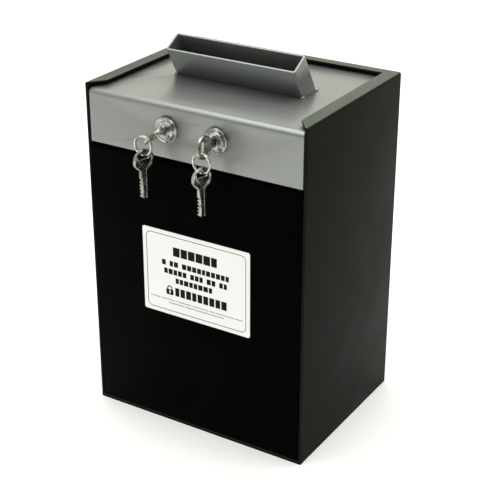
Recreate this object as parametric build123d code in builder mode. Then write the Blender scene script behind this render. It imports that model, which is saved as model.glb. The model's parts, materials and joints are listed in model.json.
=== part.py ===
"""Lockable cash drop box: open-fronted steel housing, removable inner box, sliding silver lid.

Frame: millimetres, +Z up, +X to the viewer's right, the front of the box faces -Y.
The origin is the centre of the housing's underside.
"""
import os
from math import cos, radians, sin, sqrt

from build123d import *

# ---------------------------------------------------------------- driving dimensions
WIDTH = 178.0              # outside width of the housing
DEPTH = 137.0              # outside depth of the housing
HEIGHT = 256.0             # height to the top of the folded lips

HOUSING_SHEET = 2.0
SIDE_LIP = 11.0            # width of the side lips over the lid
BACK_LIP = 9.0
LIP_SETBACK = 11.5         # how far behind the front edge a side lip ends at its inner corner
BEND = 1.7                 # outer bend radius of the housing sheet
BOLT_HOLE = 7.0            # bolt-down holes in the floor
BOLT_SPACING = 80.0
GLIDE_HEIGHT = 3.7
GLIDE_WIDTH = 14.0
GLIDE_SPACING = 120.0
GLIDE_END_GAP = 8.0        # strip ends to the housing's front and back

SIDE_GAP = 4.0             # room between the box walls and the housing walls, for the keeper
FACE_GAP = 0.6             # gap beside the front panel and the lid's apron
SLIDE_GAP = 0.3            # vertical play of everything that slides
BACK_GAP = 4.5             # box back wall to housing back wall

BOX_SHEET = 1.2
BOX_FLANGE = 10.0          # inward top flanges of the box
BOX_BEND = 2.2             # outer bend radius of the box
BOX_SILL = 8.0             # height of the box's front edge above its floor
SILL_INSET = 0.5           # box's front flange inside the front panel's ends
WINDOW_PLAY = 2.0          # bolt window beyond the bolt, front and back
WINDOW_HEADROOM = 1.25     # bolt window beyond the bolt, above and below
FRONT_SHEET = 1.5
FRONT_RETURN = 13.5        # rearward flange on top of the front panel
FRONT_CATCH = 9.0          # down-turned edge that the lid cam drops behind
FRONT_BEND = 3.0
FRONT_FOOT_GAP = 0.5       # front panel's bottom edge to the housing's floor

LID_SHEET = 1.5
LID_BACK_GAP = 2.0         # lid's back edge to the housing's back wall
LIP_SHADOW = 2.0           # lid surface to the underside of the lips
APRON_HEIGHT = 39.0
APRON_GAP = 2.5            # apron's bottom edge to the front panel's top
APRON_BEND = 4.0
APRON_RETURN = 9.0         # folded-back ends of the apron
APRON_HEM = 5.0            # folded-back bottom edge of the apron
APRON_END_BEND = 1.2

CHUTE_LENGTH = 105.0
CHUTE_THICKNESS = 17.0
CHUTE_WALL = 1.5
CHUTE_TILT = 30.0          # degrees forward from upright
CHUTE_REACH = 29.5         # along its middle, lid surface to rim
BAFFLE_DROP = 28.0
BAFFLE_SHEET = 1.2
BAFFLE_FLANGE = 10.0       # flange under the lid behind the slot
BAFFLE_SETBACK = 1.0       # slot's back edge to the baffle
BAFFLE_LAP = 1.5           # plate's thickening where it meets the flange

NOTICE_WIDTH = 90.0
NOTICE_HEIGHT = 66.0
NOTICE_THICKNESS = 0.4
NOTICE_CORNER = 1.5
NOTICE_CENTRE = (1.5, 124.5)

LOCK_SPACING = 40.0
LOCK_DROP = 18.0           # lid surface to the lock axis
BEZEL_THICKNESS = 2.2
BEZEL_CHAMFER = 0.6
BEZEL_RIM = 1.5            # raised ring round the bezel's sunk face
BEZEL_COLLAR = 0.5         # raised ring round the plug's head
BEZEL_SINK = 0.6
BARREL_DIAMETER = 15.8
BEZEL_OVERLAP = 1.35       # bezel beyond the barrel, all round
BARREL_LENGTH = 15.2       # behind the apron's front face
PLUG_DIAMETER = 11.0
PLUG_HEAD = 12.4
PLUG_HEAD_THICKNESS = 1.2
PLUG_PROUD = 0.4           # plug face in front of the bezel
PLUG_CHAMFER = 0.4
NUT_ACROSS_FLATS = 20.0
NUT_THICKNESS = 3.0
TANG = 6.0
TANG_SHY = 0.1             # tang's end below the cam's back face, so that the screw clamps the cam
CAM_SHEET = 2.0
CAM_WIDTH = 9.0
CAM_HUB = 13.0
CAM_ENGAGEMENT = 2.5       # how far the lid cam drops behind the front panel's top
LEFT_KEY_TURN = 45.0       # the left key rests half turned
DRIVE_PIN = 4.0
PIN_LIFT = 45.0            # degrees of the pin above the lock axis at both ends of its turn
PIN_PROUD = 0.6            # pin beyond the bolt's back face
PIN_CAM_TRIM = 0.5         # shortening of the right cam's round end
CAM_SCREW_HEAD = 7.5
CAM_SCREW_HEIGHT = 2.4
CAM_SCREW_SHANK = 3.4
CAM_SCREW_LENGTH = 3.2     # below the head
CAM_SCREW_DOME = 0.9
CAM_SCREW_HOLE_EXTRA = 0.2
RECESS_LENGTH = 4.4        # cross recess in the cam screw's head
RECESS_WIDTH = 1.0
RECESS_DEPTH = 1.2

KEY_SHEET = 2.0
KEY_BLADE_WIDTH = 6.8
KEY_BLADE_LENGTH = 19.5
KEY_INSERTED = 14.8
KEY_BOW_LENGTH = 15.8
KEY_BOW_WIDTH = 16.4
KEY_SLOT_WIDTH = 9.6       # hole for the ring, across the bow
KEY_SLOT_HEIGHT = 4.0
KEY_SLOT_TO_END = 5.2
KEY_NOTCH = 1.0            # depth of the cuts on both edges of the blade
KEY_NOTCHES = 5
KEY_PLAIN = 5.0            # uncut length of blade next to the bow
KEY_TIP_PLAIN = 2.0        # uncut length of blade next to the tip
KEY_TIP_CHAMFER = 1.6
KEY_ROOT = 2.0             # length that the blade runs on inside the bow
NOTCH_SHARE = 0.42         # half of a cut's width as a share of the spacing
WAFERS = 5
WAFER = 1.0                # thickness of a wafer
WAFER_WIDTH = 5.4
WAFER_HEIGHT = 9.0
FIRST_WAFER = 2.4          # plug's face to the first wafer
KEYWAY_EXTRA = 0.6         # keyway beyond the key's tip

RING_OUTER = 14.5
RING_WIRE = 1.1            # radial thickness of the split ring
RING_STACK = 2.0           # two turns side by side
RING_EDGE = 0.4            # rounding of the wire
RING_PLAY = 0.7            # wire to the slot's end in the inserted key
SPARE_PLAY = 0.3           # wire to the slot's edge in the spare key
SPARE_TWIST = 16.0         # the spare keys hang a little turned

BOLT_THICKNESS = 2.0
BOLT_HEIGHT = 8.0
BOLT_TIP_GAP = 1.2         # bolt end to the housing wall when thrown
CAM_TO_BOLT = 0.5
YOKE_SIDE = 4.0            # bolt's metal on each side of the pin
YOKE_END = 1.35            # bolt's metal above and below the slot
YOKE_CORNER = 1.5
SLOT_PLAY = 0.55           # slot beyond the pin, on each side
SLOT_RUN = 0.3             # slot beyond the pin, above and below
GUIDE_SHEET = 1.5
GUIDE_PLACES = (22.0, 40.0)    # bolt guides' distances from the right lock axis
GUIDE_FOOT = 1.5           # thickness of a bolt guide's foot on the apron
GUIDE_FOOT_WIDTH = 12.0
GUIDE_BELOW = 2.5          # guide beyond the bolt, below
GUIDE_BEHIND = 2.0         # guide beyond the bolt, at the back
GUIDE_TOP_GAP = 0.6
TOE_GAP = 0.5              # lid guide's toe below the box's top flange
TOE_WIDTH = 7.5
RAIL_INSET = 2.0           # lid guide's web to the box's top flange
RAIL_FLANGE = 9.0          # lid guide's welded flange
RAIL_START = 10.0          # bolt to the lid guides' front ends
RAIL_END_GAP = 3.0         # lid guides' back ends to the box's back flange
KEEPER_THICKNESS = 4.0
KEEPER_HEIGHT = 12.5
KEEPER_SIDE_GAP = 0.5      # keeper to the box's wall
KEEPER_TO_BOLT = 0.7
KEEPER_HEADROOM = 0.861    # lid's underside to the keeper's top

RUN_FIT = 0.05             # radial clearance of turning and bolted fits
EASY_FIT = 0.25            # clearance a side of sliding flat pieces
SNUG_FIT = 0.1             # clearance a side of the wafers in the plug
KEY_FIT = 0.15             # clearance a side of the key in the keyway
END_EASE = 0.5             # relief at the folded ends beside the box's walls
EDGE_BREAK = 0.5           # chamfer of cut edges
OVERCUT = 1.0              # how far a cutting shape runs past the surface
NEAR = 0.01                # tolerance for picking edges by place

# ---------------------------------------------------------------- derived places
FRONT = -DEPTH / 2
BACK = DEPTH / 2
WALL_X = WIDTH / 2 - HOUSING_SHEET                  # inner face of a side wall
LIP_UNDER = HEIGHT - HOUSING_SHEET
LID_TOP = LIP_UNDER - LIP_SHADOW
LID_UNDER = LID_TOP - LID_SHEET
FACE_X = WALL_X - FACE_GAP                          # half width of the front panel and the apron
APRON_BACK = FRONT + LID_SHEET
APRON_BOTTOM = LID_TOP - APRON_HEIGHT
FRONT_TOP = APRON_BOTTOM - APRON_GAP
BOX_X = WALL_X - SIDE_GAP
BOX_BACK = BACK - HOUSING_SHEET - BACK_GAP
BOX_BOTTOM = HOUSING_SHEET + GLIDE_HEIGHT + SLIDE_GAP
BOX_TOP = LID_UNDER - SLIDE_GAP
BOX_FRONT = FRONT + FRONT_SHEET
LOCK_Z = LID_TOP - LOCK_DROP
LOCK_X = LOCK_SPACING / 2
BEZEL_DIAMETER = BARREL_DIAMETER + 2 * BEZEL_OVERLAP
BEZEL_FACE = FRONT - BEZEL_THICKNESS
PLUG_FACE = BEZEL_FACE - PLUG_PROUD
BARREL_END = FRONT + BARREL_LENGTH
CAM_FRONT = BARREL_END + EASY_FIT
CAM_BACK = CAM_FRONT + CAM_SHEET
TANG_END = CAM_BACK - TANG_SHY
SCREW_TIP = CAM_BACK - CAM_SCREW_LENGTH
LID_CAM_REACH = LOCK_Z - FRONT_TOP + CAM_ENGAGEMENT # axis to the tip of the cam that locks the lid
BOLT_Z = LID_UNDER - KEEPER_HEADROOM - KEEPER_HEIGHT / 2         # middle of the bolt bar
DRIVE_RADIUS = 2 * (BOLT_Z - LOCK_Z) / (1 + sin(radians(PIN_LIFT)))    # axis to the pin for the bolt
PIN_RISE = DRIVE_RADIUS * sin(radians(PIN_LIFT))    # pin above the axis at both ends of its turn
BOLT_TRAVEL = 2 * PIN_RISE
BOLT_FRONT = CAM_BACK + CAM_TO_BOLT
BOLT_BACK = BOLT_FRONT + BOLT_THICKNESS
BOLT_TIP = WALL_X - BOLT_TIP_GAP - BOLT_TRAVEL
PIN_CAM_REACH = DRIVE_RADIUS + CAM_WIDTH / 2 - PIN_CAM_TRIM      # axis to the tip of the right cam
RING_RADIUS = (RING_OUTER - RING_WIRE) / 2
SHOULDER = PLUG_FACE + KEY_INSERTED - KEY_BLADE_LENGTH      # where the bow meets the blade
BOW_CENTRE = SHOULDER - KEY_BOW_LENGTH / 2
SLOT_CENTRE = SHOULDER - KEY_BOW_LENGTH + KEY_SLOT_TO_END
SLOT_END_CENTRE = (KEY_SLOT_WIDTH - KEY_SLOT_HEIGHT) / 2         # middle of the slot's round end
RING_IN_SLOT = KEY_SLOT_WIDTH / 2 - RING_WIRE / 2 - RING_PLAY    # wire below the key's axis
SPARE_IN_SLOT = KEY_SLOT_HEIGHT / 2 - RING_WIRE / 2 - SPARE_PLAY  # wire above the slot's middle


def save(part, label):
    """Label a finished piece and write its STEP file."""
    part.label = label
    export_step(part, f"parts/{label}.step")


def lock_plane(x, y, turn=0):
    """Plane facing the front at depth y on a lock axis, turned anticlockwise by turn degrees."""
    across = (cos(radians(turn)), 0, sin(radians(turn)))
    return Plane(origin=(x, y, LOCK_Z), x_dir=across, z_dir=(0, -1, 0))


# ---------------------------------------------------------------- housing
def make_housing_shell():
    """One folded sheet: left, back and right walls with lips turned in over the lid."""
    with BuildPart() as housing_shell:
        with BuildSketch():
            with Locations((0, HOUSING_SHEET / 2)):
                Rectangle(WIDTH, DEPTH + HOUSING_SHEET)
            with Locations((0, -HOUSING_SHEET)):
                Rectangle(2 * WALL_X, DEPTH, mode=Mode.SUBTRACT)
            with Locations((0, BACK + HOUSING_SHEET)):
                Rectangle(WIDTH, 2 * HOUSING_SHEET, mode=Mode.SUBTRACT)
        extrude(amount=HEIGHT - HOUSING_SHEET)
        with BuildSketch(Plane.XY.offset(HEIGHT - HOUSING_SHEET)):
            with BuildLine():
                Polyline(
                    (-WIDTH / 2, FRONT), (-WALL_X, FRONT), (-WIDTH / 2 + SIDE_LIP, FRONT + LIP_SETBACK),
                    (-WIDTH / 2 + SIDE_LIP, BACK - BACK_LIP), (WIDTH / 2 - SIDE_LIP, BACK - BACK_LIP),
                    (WIDTH / 2 - SIDE_LIP, FRONT + LIP_SETBACK), (WALL_X, FRONT), (WIDTH / 2, FRONT),
                    (WIDTH / 2, BACK), (-WIDTH / 2, BACK), close=True,
                )
            make_face()
        extrude(amount=HOUSING_SHEET)
        outer = housing_shell.edges().filter_by(GeomType.LINE)
        top_bends = outer.filter_by(Axis.Y).filter_by_position(Axis.Z, HEIGHT - NEAR, HEIGHT + NEAR)
        back_bends = outer.filter_by(Axis.Z).filter_by_position(Axis.Y, BACK - NEAR, BACK + NEAR)
        top_back = outer.filter_by(Axis.X).filter_by_position(Axis.Y, BACK - NEAR, BACK + NEAR)
        top_back = top_back.filter_by_position(Axis.Z, HEIGHT - NEAR, HEIGHT + NEAR)
        side_bends = top_bends.filter_by(lambda edge: abs(edge.center().X) > WALL_X)
        fillet(side_bends + top_back + back_bends, radius=BEND)
    save(housing_shell.part, "housing_shell")


def make_housing_floor():
    """Floor plate welded between the walls, with four holes for bolting the box down."""
    with BuildPart() as housing_floor:
        with BuildSketch():
            with Locations((0, -HOUSING_SHEET / 2)):
                Rectangle(2 * WALL_X, DEPTH - HOUSING_SHEET)
            with GridLocations(BOLT_SPACING, BOLT_SPACING, 2, 2):
                Circle(BOLT_HOLE / 2, mode=Mode.SUBTRACT)
        extrude(amount=HOUSING_SHEET)
    save(housing_floor.part, "housing_floor")


def make_glide_strips():
    """Two plastic strips on the floor that the box slides on."""
    with BuildPart() as glide_strips:
        with BuildSketch(Plane.XY.offset(HOUSING_SHEET)):
            with GridLocations(GLIDE_SPACING, 0, 2, 1):
                Rectangle(GLIDE_WIDTH, DEPTH - 2 * GLIDE_END_GAP)
        extrude(amount=GLIDE_HEIGHT)
        chamfer(glide_strips.faces().sort_by(Axis.Z)[-2:].edges(), length=EDGE_BREAK)
    save(glide_strips.part, "glide_strips")


def make_bolt_keeper():
    """Block welded inside the right wall; the thrown bolt lies behind it."""
    keeper_width = SIDE_GAP - KEEPER_SIDE_GAP
    keeper_back = BOLT_FRONT - KEEPER_TO_BOLT
    with BuildPart() as bolt_keeper:
        with BuildSketch(Plane.XY.offset(BOLT_Z - KEEPER_HEIGHT / 2)):
            with Locations((WALL_X - keeper_width / 2, keeper_back - KEEPER_THICKNESS / 2)):
                Rectangle(keeper_width, KEEPER_THICKNESS)
        extrude(amount=KEEPER_HEIGHT)
        chamfer(bolt_keeper.faces().sort_by(Axis.X)[0].edges(), length=EDGE_BREAK)
    save(bolt_keeper.part, "bolt_keeper")


# ---------------------------------------------------------------- inner box
def make_box_shell():
    """Inner box: floor, sides and back in one folded sheet, open at the top and the front."""
    wall_front = BOX_FRONT + SLIDE_GAP
    length = BOX_BACK - wall_front
    middle_y = (BOX_BACK + wall_front) / 2
    window_depth = BOLT_THICKNESS + 2 * WINDOW_PLAY
    window_height = BOLT_HEIGHT + 2 * WINDOW_HEADROOM
    with BuildPart() as box_shell:
        with BuildSketch(Plane.XY.offset(BOX_BOTTOM)):
            with Locations((0, middle_y)):
                Rectangle(2 * BOX_X, length)
        extrude(amount=BOX_TOP - BOX_BOTTOM)
        with BuildSketch(Plane.XY.offset(BOX_BOTTOM + BOX_SHEET)):
            with Locations((0, middle_y - BOX_SHEET)):
                Rectangle(2 * (BOX_X - BOX_SHEET), length)
        extrude(amount=BOX_TOP - BOX_BOTTOM - 2 * BOX_SHEET, mode=Mode.SUBTRACT)
        with BuildSketch(Plane.XY.offset(BOX_TOP - BOX_SHEET)):
            with Locations((0, middle_y - BOX_FLANGE)):
                Rectangle(2 * (BOX_X - BOX_FLANGE), length)
        extrude(amount=BOX_SHEET, mode=Mode.SUBTRACT)
        with BuildSketch(Plane.XZ.offset(-BOX_FRONT)):
            with Locations((0, (BOX_BOTTOM + FRONT_TOP - FRONT_BEND) / 2)):
                Rectangle(2 * (FACE_X - SILL_INSET), FRONT_TOP - FRONT_BEND - BOX_BOTTOM)
            with Locations((0, FRONT_TOP / 2 + BOX_BOTTOM + BOX_SILL)):
                Rectangle(2 * (BOX_X - BOX_SHEET), FRONT_TOP, mode=Mode.SUBTRACT)
        extrude(amount=-BOX_SHEET)
        with BuildSketch(Plane.YZ.offset(BOX_X - 2 * BOX_SHEET)):
            with Locations(((BOLT_FRONT + BOLT_BACK) / 2, BOLT_Z)):
                Rectangle(window_depth, window_height)
        extrude(amount=3 * BOX_SHEET, mode=Mode.SUBTRACT)
        with BuildSketch(Plane.YZ.offset(-BOX_X)):
            with BuildLine():
                Polyline(
                    (wall_front - OVERCUT, BOX_TOP - APRON_BEND),
                    (wall_front + APRON_BEND, BOX_TOP + OVERCUT),
                    (wall_front - OVERCUT, BOX_TOP + OVERCUT), close=True,
                )
            make_face()
        extrude(amount=2 * BOX_X, mode=Mode.SUBTRACT)
        corners = box_shell.edges().filter_by(Axis.Z)
        corners = corners.filter_by_position(Axis.Y, BOX_BACK - NEAR, BOX_BACK + NEAR)
        fillet(corners, radius=BOX_BEND)
    save(box_shell.part, "box_shell")


def make_box_front():
    """Front panel with a rearward top flange whose edge turns down as the lid's catch."""
    outline = [
        (FRONT, HOUSING_SHEET + FRONT_FOOT_GAP), (FRONT, FRONT_TOP), (FRONT + FRONT_RETURN, FRONT_TOP),
        (FRONT + FRONT_RETURN, FRONT_TOP - FRONT_CATCH),
        (FRONT + FRONT_RETURN - FRONT_SHEET, FRONT_TOP - FRONT_CATCH),
        (FRONT + FRONT_RETURN - FRONT_SHEET, FRONT_TOP - FRONT_SHEET),
        (BOX_FRONT, FRONT_TOP - FRONT_SHEET), (BOX_FRONT, HOUSING_SHEET + FRONT_FOOT_GAP),
    ]
    with BuildPart() as box_front:
        with BuildSketch(Plane.YZ.offset(-FACE_X)):
            with BuildLine():
                Polyline(*outline, close=True)
            make_face()
        extrude(amount=2 * FACE_X)
        bend = box_front.edges().filter_by(Axis.X)
        top = bend.filter_by_position(Axis.Z, FRONT_TOP - NEAR, FRONT_TOP + NEAR).sort_by(Axis.Y)
        fillet(top[0], radius=FRONT_BEND)
        inner = box_front.edges().filter_by(Axis.X)
        inner = inner.filter_by_position(Axis.Y, BOX_FRONT - NEAR, BOX_FRONT + NEAR).sort_by(Axis.Z)
        fillet(inner[-1], radius=FRONT_BEND - FRONT_SHEET)
        with BuildSketch(Plane.XY.offset(FRONT_TOP - FRONT_CATCH - OVERCUT)):
            catch_y = FRONT + (FRONT_RETURN + FRONT_SHEET) / 2 + OVERCUT
            cut = FACE_X - BOX_X + BOX_SHEET + END_EASE
            for side in (-1, 1):
                with Locations((side * (FACE_X - cut / 2), catch_y)):
                    Rectangle(cut, FRONT_RETURN - FRONT_SHEET + 2 * OVERCUT)
        extrude(amount=FRONT_CATCH + 2 * OVERCUT, mode=Mode.SUBTRACT)
    save(box_front.part, "box_front")


def make_notice_plate():
    """Printed notice stuck to the front panel."""
    plane = Plane(origin=(NOTICE_CENTRE[0], FRONT, NOTICE_CENTRE[1]), x_dir=(1, 0, 0), z_dir=(0, -1, 0))
    with BuildPart() as notice_plate:
        with BuildSketch(plane):
            RectangleRounded(NOTICE_WIDTH, NOTICE_HEIGHT, NOTICE_CORNER)
        extrude(amount=NOTICE_THICKNESS)
    save(notice_plate.part, "notice_plate")


# ---------------------------------------------------------------- lid
def make_lid_cover():
    """Silver lid: top panel under the lips, front bend and apron, with folded-back ends."""
    lid_back = BACK - HOUSING_SHEET - LID_BACK_GAP
    slot = CHUTE_THICKNESS / cos(radians(CHUTE_TILT)) - 2 * CHUTE_WALL
    outline = [
        (FRONT, APRON_BOTTOM), (FRONT, LID_TOP), (lid_back, LID_TOP), (lid_back, LID_UNDER),
        (APRON_BACK, LID_UNDER), (APRON_BACK, APRON_BOTTOM + LID_SHEET),
        (APRON_BACK + APRON_HEM, APRON_BOTTOM + LID_SHEET), (APRON_BACK + APRON_HEM, APRON_BOTTOM),
    ]
    with BuildPart() as lid_cover:
        with BuildSketch(Plane.YZ.offset(-FACE_X)):
            with BuildLine():
                Polyline(*outline, close=True)
            make_face()
        extrude(amount=2 * FACE_X)
        long_edges = lid_cover.edges().filter_by(Axis.X)
        bend = long_edges.filter_by_position(Axis.Z, LID_TOP - NEAR, LID_TOP + NEAR).sort_by(Axis.Y)
        fillet(bend[0], radius=APRON_BEND)
        inner = lid_cover.edges().filter_by(Axis.X)
        inner = inner.filter_by_position(Axis.Y, APRON_BACK - NEAR, APRON_BACK + NEAR).sort_by(Axis.Z)
        fillet(inner[-1], radius=APRON_BEND - LID_SHEET)
        for side in (-1, 1):
            return_x = side * (FACE_X - LID_SHEET / 2)
            with BuildSketch(Plane.XY.offset(APRON_BOTTOM)):
                with Locations((return_x, APRON_BACK + APRON_RETURN / 2 - LID_SHEET / 2)):
                    Rectangle(LID_SHEET, APRON_RETURN + LID_SHEET)
            extrude(amount=LID_UNDER - APRON_BOTTOM - APRON_BEND + LID_SHEET)
        with BuildSketch(Plane.XY.offset(APRON_BOTTOM)):
            cut = FACE_X - LID_SHEET - BOX_X + BOX_SHEET + END_EASE
            for side in (-1, 1):
                with Locations((side * (FACE_X - LID_SHEET - cut / 2), APRON_BACK + APRON_HEM)):
                    Rectangle(cut, 2 * APRON_HEM)
        extrude(amount=LID_SHEET, mode=Mode.SUBTRACT)
        upright = lid_cover.edges().filter_by(Axis.Z)
        ends = upright.filter_by_position(Axis.Y, FRONT - NEAR, FRONT + NEAR)
        fillet(ends, radius=APRON_END_BEND)
        with BuildSketch(Plane.XY.offset(LID_UNDER)):
            Rectangle(CHUTE_LENGTH - 2 * CHUTE_WALL, slot)
        extrude(amount=LID_SHEET, mode=Mode.SUBTRACT)
        with BuildSketch(Plane(origin=(0, FRONT, LOCK_Z), x_dir=(1, 0, 0), z_dir=(0, -1, 0))):
            with GridLocations(LOCK_SPACING, 0, 2, 1):
                Circle(BARREL_DIAMETER / 2 + RUN_FIT)
        extrude(amount=-LID_SHEET, mode=Mode.SUBTRACT)
    save(lid_cover.part, "lid_cover")


def make_deposit_chute():
    """Rectangular tube leaning forward on the lid, its rim square to its own axis."""
    lean = radians(CHUTE_TILT)
    base = Plane(origin=(0, 0, LID_TOP), x_dir=(1, 0, 0), z_dir=(0, -sin(lean), cos(lean)))
    with BuildPart() as deposit_chute:
        with BuildSketch(base.offset(-CHUTE_THICKNESS)):
            RectangleRounded(CHUTE_LENGTH, CHUTE_THICKNESS, CHUTE_WALL)
            Rectangle(CHUTE_LENGTH - 2 * CHUTE_WALL, CHUTE_THICKNESS - 2 * CHUTE_WALL, mode=Mode.SUBTRACT)
        extrude(amount=CHUTE_THICKNESS + CHUTE_REACH)
        split(bisect_by=Plane.XY.offset(LID_TOP), keep=Keep.TOP)
    save(deposit_chute.part, "deposit_chute")


def make_chute_baffle():
    """Sloping plate with end cheeks under the slot, so that nothing can be fished back out."""
    top = LID_UNDER
    slot_half = CHUTE_THICKNESS / cos(radians(CHUTE_TILT)) / 2
    back_y = slot_half + BAFFLE_SETBACK
    slope = Vector(-2 * slot_half, -BAFFLE_DROP).normalized()
    normal = Vector(slope.Y, -slope.X) * BAFFLE_SHEET
    upper = Vector(back_y, top)
    lower = upper + Vector(-2 * slot_half, -BAFFLE_DROP)
    lap = Vector(BAFFLE_LAP, 0)
    plate = [(v.X, v.Y) for v in (upper, lower, lower - normal, upper - normal + lap)]
    cheek = [(v.X, v.Y) for v in (upper, lower, Vector(lower.X, top))]
    half = CHUTE_LENGTH / 2 + BAFFLE_SHEET
    with BuildPart() as chute_baffle:
        with BuildSketch(Plane.YZ.offset(-half)):
            with BuildLine():
                Polyline(*plate, close=True)
            make_face()
        extrude(amount=2 * half)
        for side in (-half, half - BAFFLE_SHEET):
            with BuildSketch(Plane.YZ.offset(side)):
                with BuildLine():
                    Polyline(*cheek, close=True)
                make_face()
            extrude(amount=BAFFLE_SHEET)
        with BuildSketch(Plane.XY.offset(top - BAFFLE_SHEET)):
            with Locations((0, back_y + BAFFLE_FLANGE / 2)):
                Rectangle(2 * half, BAFFLE_FLANGE)
        extrude(amount=BAFFLE_SHEET)
        split(bisect_by=Plane.XY.offset(top), keep=Keep.BOTTOM)
    save(chute_baffle.part, "chute_baffle")


def make_lid_guides():
    """Two folded strips welded under the lid; their toes run below the box's top flanges."""
    toe_top = BOX_TOP - BOX_SHEET - TOE_GAP
    web = BOX_X - BOX_FLANGE - RAIL_INSET
    start = BOLT_BACK + RAIL_START
    length = BOX_BACK - BOX_FLANGE - RAIL_END_GAP - start
    with BuildPart() as lid_guides:
        for side in (-1, 1):
            with BuildSketch(Plane.XZ.offset(-start)):
                with BuildLine():
                    Polyline(
                        (side * (web - RAIL_FLANGE), LID_UNDER),
                        (side * web, LID_UNDER), (side * web, toe_top), (side * (web + TOE_WIDTH), toe_top),
                        (side * (web + TOE_WIDTH), toe_top - BOX_SHEET),
                        (side * (web - BOX_SHEET), toe_top - BOX_SHEET),
                        (side * (web - BOX_SHEET), LID_UNDER - BOX_SHEET),
                        (side * (web - RAIL_FLANGE), LID_UNDER - BOX_SHEET), close=True,
                    )
                make_face()
            extrude(amount=-length)
    save(lid_guides.part, "lid_guides")


def make_bolt_guides():
    """Two brackets behind the apron that carry the bolt."""
    low = BOLT_Z - BOLT_HEIGHT / 2 - GUIDE_BELOW
    tall = LID_UNDER - GUIDE_TOP_GAP - low
    with BuildPart() as bolt_guides:
        for place in GUIDE_PLACES:
            x = LOCK_X + place
            with BuildSketch(Plane.XY.offset(low)):
                with Locations((x, APRON_BACK + GUIDE_FOOT / 2)):
                    Rectangle(GUIDE_FOOT_WIDTH, GUIDE_FOOT)
                with Locations((x, (APRON_BACK + BOLT_BACK + GUIDE_BEHIND) / 2)):
                    Rectangle(GUIDE_SHEET, BOLT_BACK + GUIDE_BEHIND - APRON_BACK)
            extrude(amount=tall)
        with BuildSketch(Plane.YZ):
            with Locations(((BOLT_FRONT + BOLT_BACK) / 2, BOLT_Z)):
                Rectangle(BOLT_THICKNESS + 2 * EASY_FIT, BOLT_HEIGHT + 2 * EASY_FIT)
        extrude(amount=WALL_X, mode=Mode.SUBTRACT)
        with BuildSketch(Plane.YZ):
            with Locations((APRON_BACK, LID_UNDER)):
                Rectangle(2 * APRON_BEND, 2 * APRON_BEND - LID_SHEET)
        extrude(amount=WALL_X, mode=Mode.SUBTRACT)
    save(bolt_guides.part, "bolt_guides")


def make_lock_bolt():
    """Flat bolt with an upright slot for the drive pin, drawn back."""
    pin_x = LOCK_X - PIN_RISE
    yoke = DRIVE_PIN + 2 * YOKE_SIDE
    slot_height = DRIVE_RADIUS - PIN_RISE + DRIVE_PIN + 2 * SLOT_RUN
    yoke_height = slot_height + 2 * YOKE_END
    with BuildPart() as lock_bolt:
        with BuildSketch(Plane.XZ.offset(-BOLT_FRONT)):
            with Locations(((pin_x + BOLT_TIP) / 2, BOLT_Z)):
                Rectangle(BOLT_TIP - pin_x, BOLT_HEIGHT)
            with Locations((pin_x, BOLT_Z)):
                RectangleRounded(yoke, yoke_height, YOKE_CORNER)
            with Locations((pin_x, BOLT_Z)):
                Rectangle(DRIVE_PIN + 2 * SLOT_PLAY, slot_height, mode=Mode.SUBTRACT)
        extrude(amount=-BOLT_THICKNESS)
        chamfer(lock_bolt.faces().sort_by(Axis.X)[-1].edges(), length=EDGE_BREAK)
    save(lock_bolt.part, "lock_bolt")


# ---------------------------------------------------------------- locks
def make_lock_body(name, x):
    """Cam lock case: bezel with a sunk ring in front of the apron, round barrel behind it."""
    with BuildPart() as lock_body:
        with BuildSketch(lock_plane(x, FRONT)):
            Circle(BEZEL_DIAMETER / 2)
        extrude(amount=BEZEL_THICKNESS)
        chamfer(lock_body.faces().sort_by(Axis.Y)[0].edges(), length=BEZEL_CHAMFER)
        with BuildSketch(lock_plane(x, BEZEL_FACE)):
            Circle(BEZEL_DIAMETER / 2 - BEZEL_RIM)
            Circle(PLUG_HEAD / 2 + BEZEL_COLLAR, mode=Mode.SUBTRACT)
        extrude(amount=-BEZEL_SINK, mode=Mode.SUBTRACT)
        with BuildSketch(lock_plane(x, FRONT)):
            Circle(BARREL_DIAMETER / 2)
        extrude(amount=-BARREL_LENGTH)
        with BuildSketch(lock_plane(x, BEZEL_FACE)):
            Circle(PLUG_DIAMETER / 2 + RUN_FIT)
        extrude(amount=-(BEZEL_THICKNESS + BARREL_LENGTH), mode=Mode.SUBTRACT)
        with BuildSketch(lock_plane(x, BEZEL_FACE)):
            Circle(PLUG_HEAD / 2 + RUN_FIT)
        extrude(amount=-PLUG_HEAD_THICKNESS, mode=Mode.SUBTRACT)
    save(lock_body.part, f"{name}_lock_body")


def make_lock_nut(name, x):
    """Hexagon nut that clamps the lock to the apron."""
    with BuildPart() as lock_nut:
        with BuildSketch(lock_plane(x, APRON_BACK)):
            RegularPolygon(NUT_ACROSS_FLATS / 2, 6, major_radius=False)
            Circle(BARREL_DIAMETER / 2 + RUN_FIT, mode=Mode.SUBTRACT)
        extrude(amount=-NUT_THICKNESS)
    save(lock_nut.part, f"{name}_lock_nut")


def wafer_places():
    """Depths of the wafers' front faces along the plug."""
    pitch = (KEY_INSERTED - 2 * WAFER) / WAFERS
    return [PLUG_FACE + FIRST_WAFER + index * pitch for index in range(WAFERS)]


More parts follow.
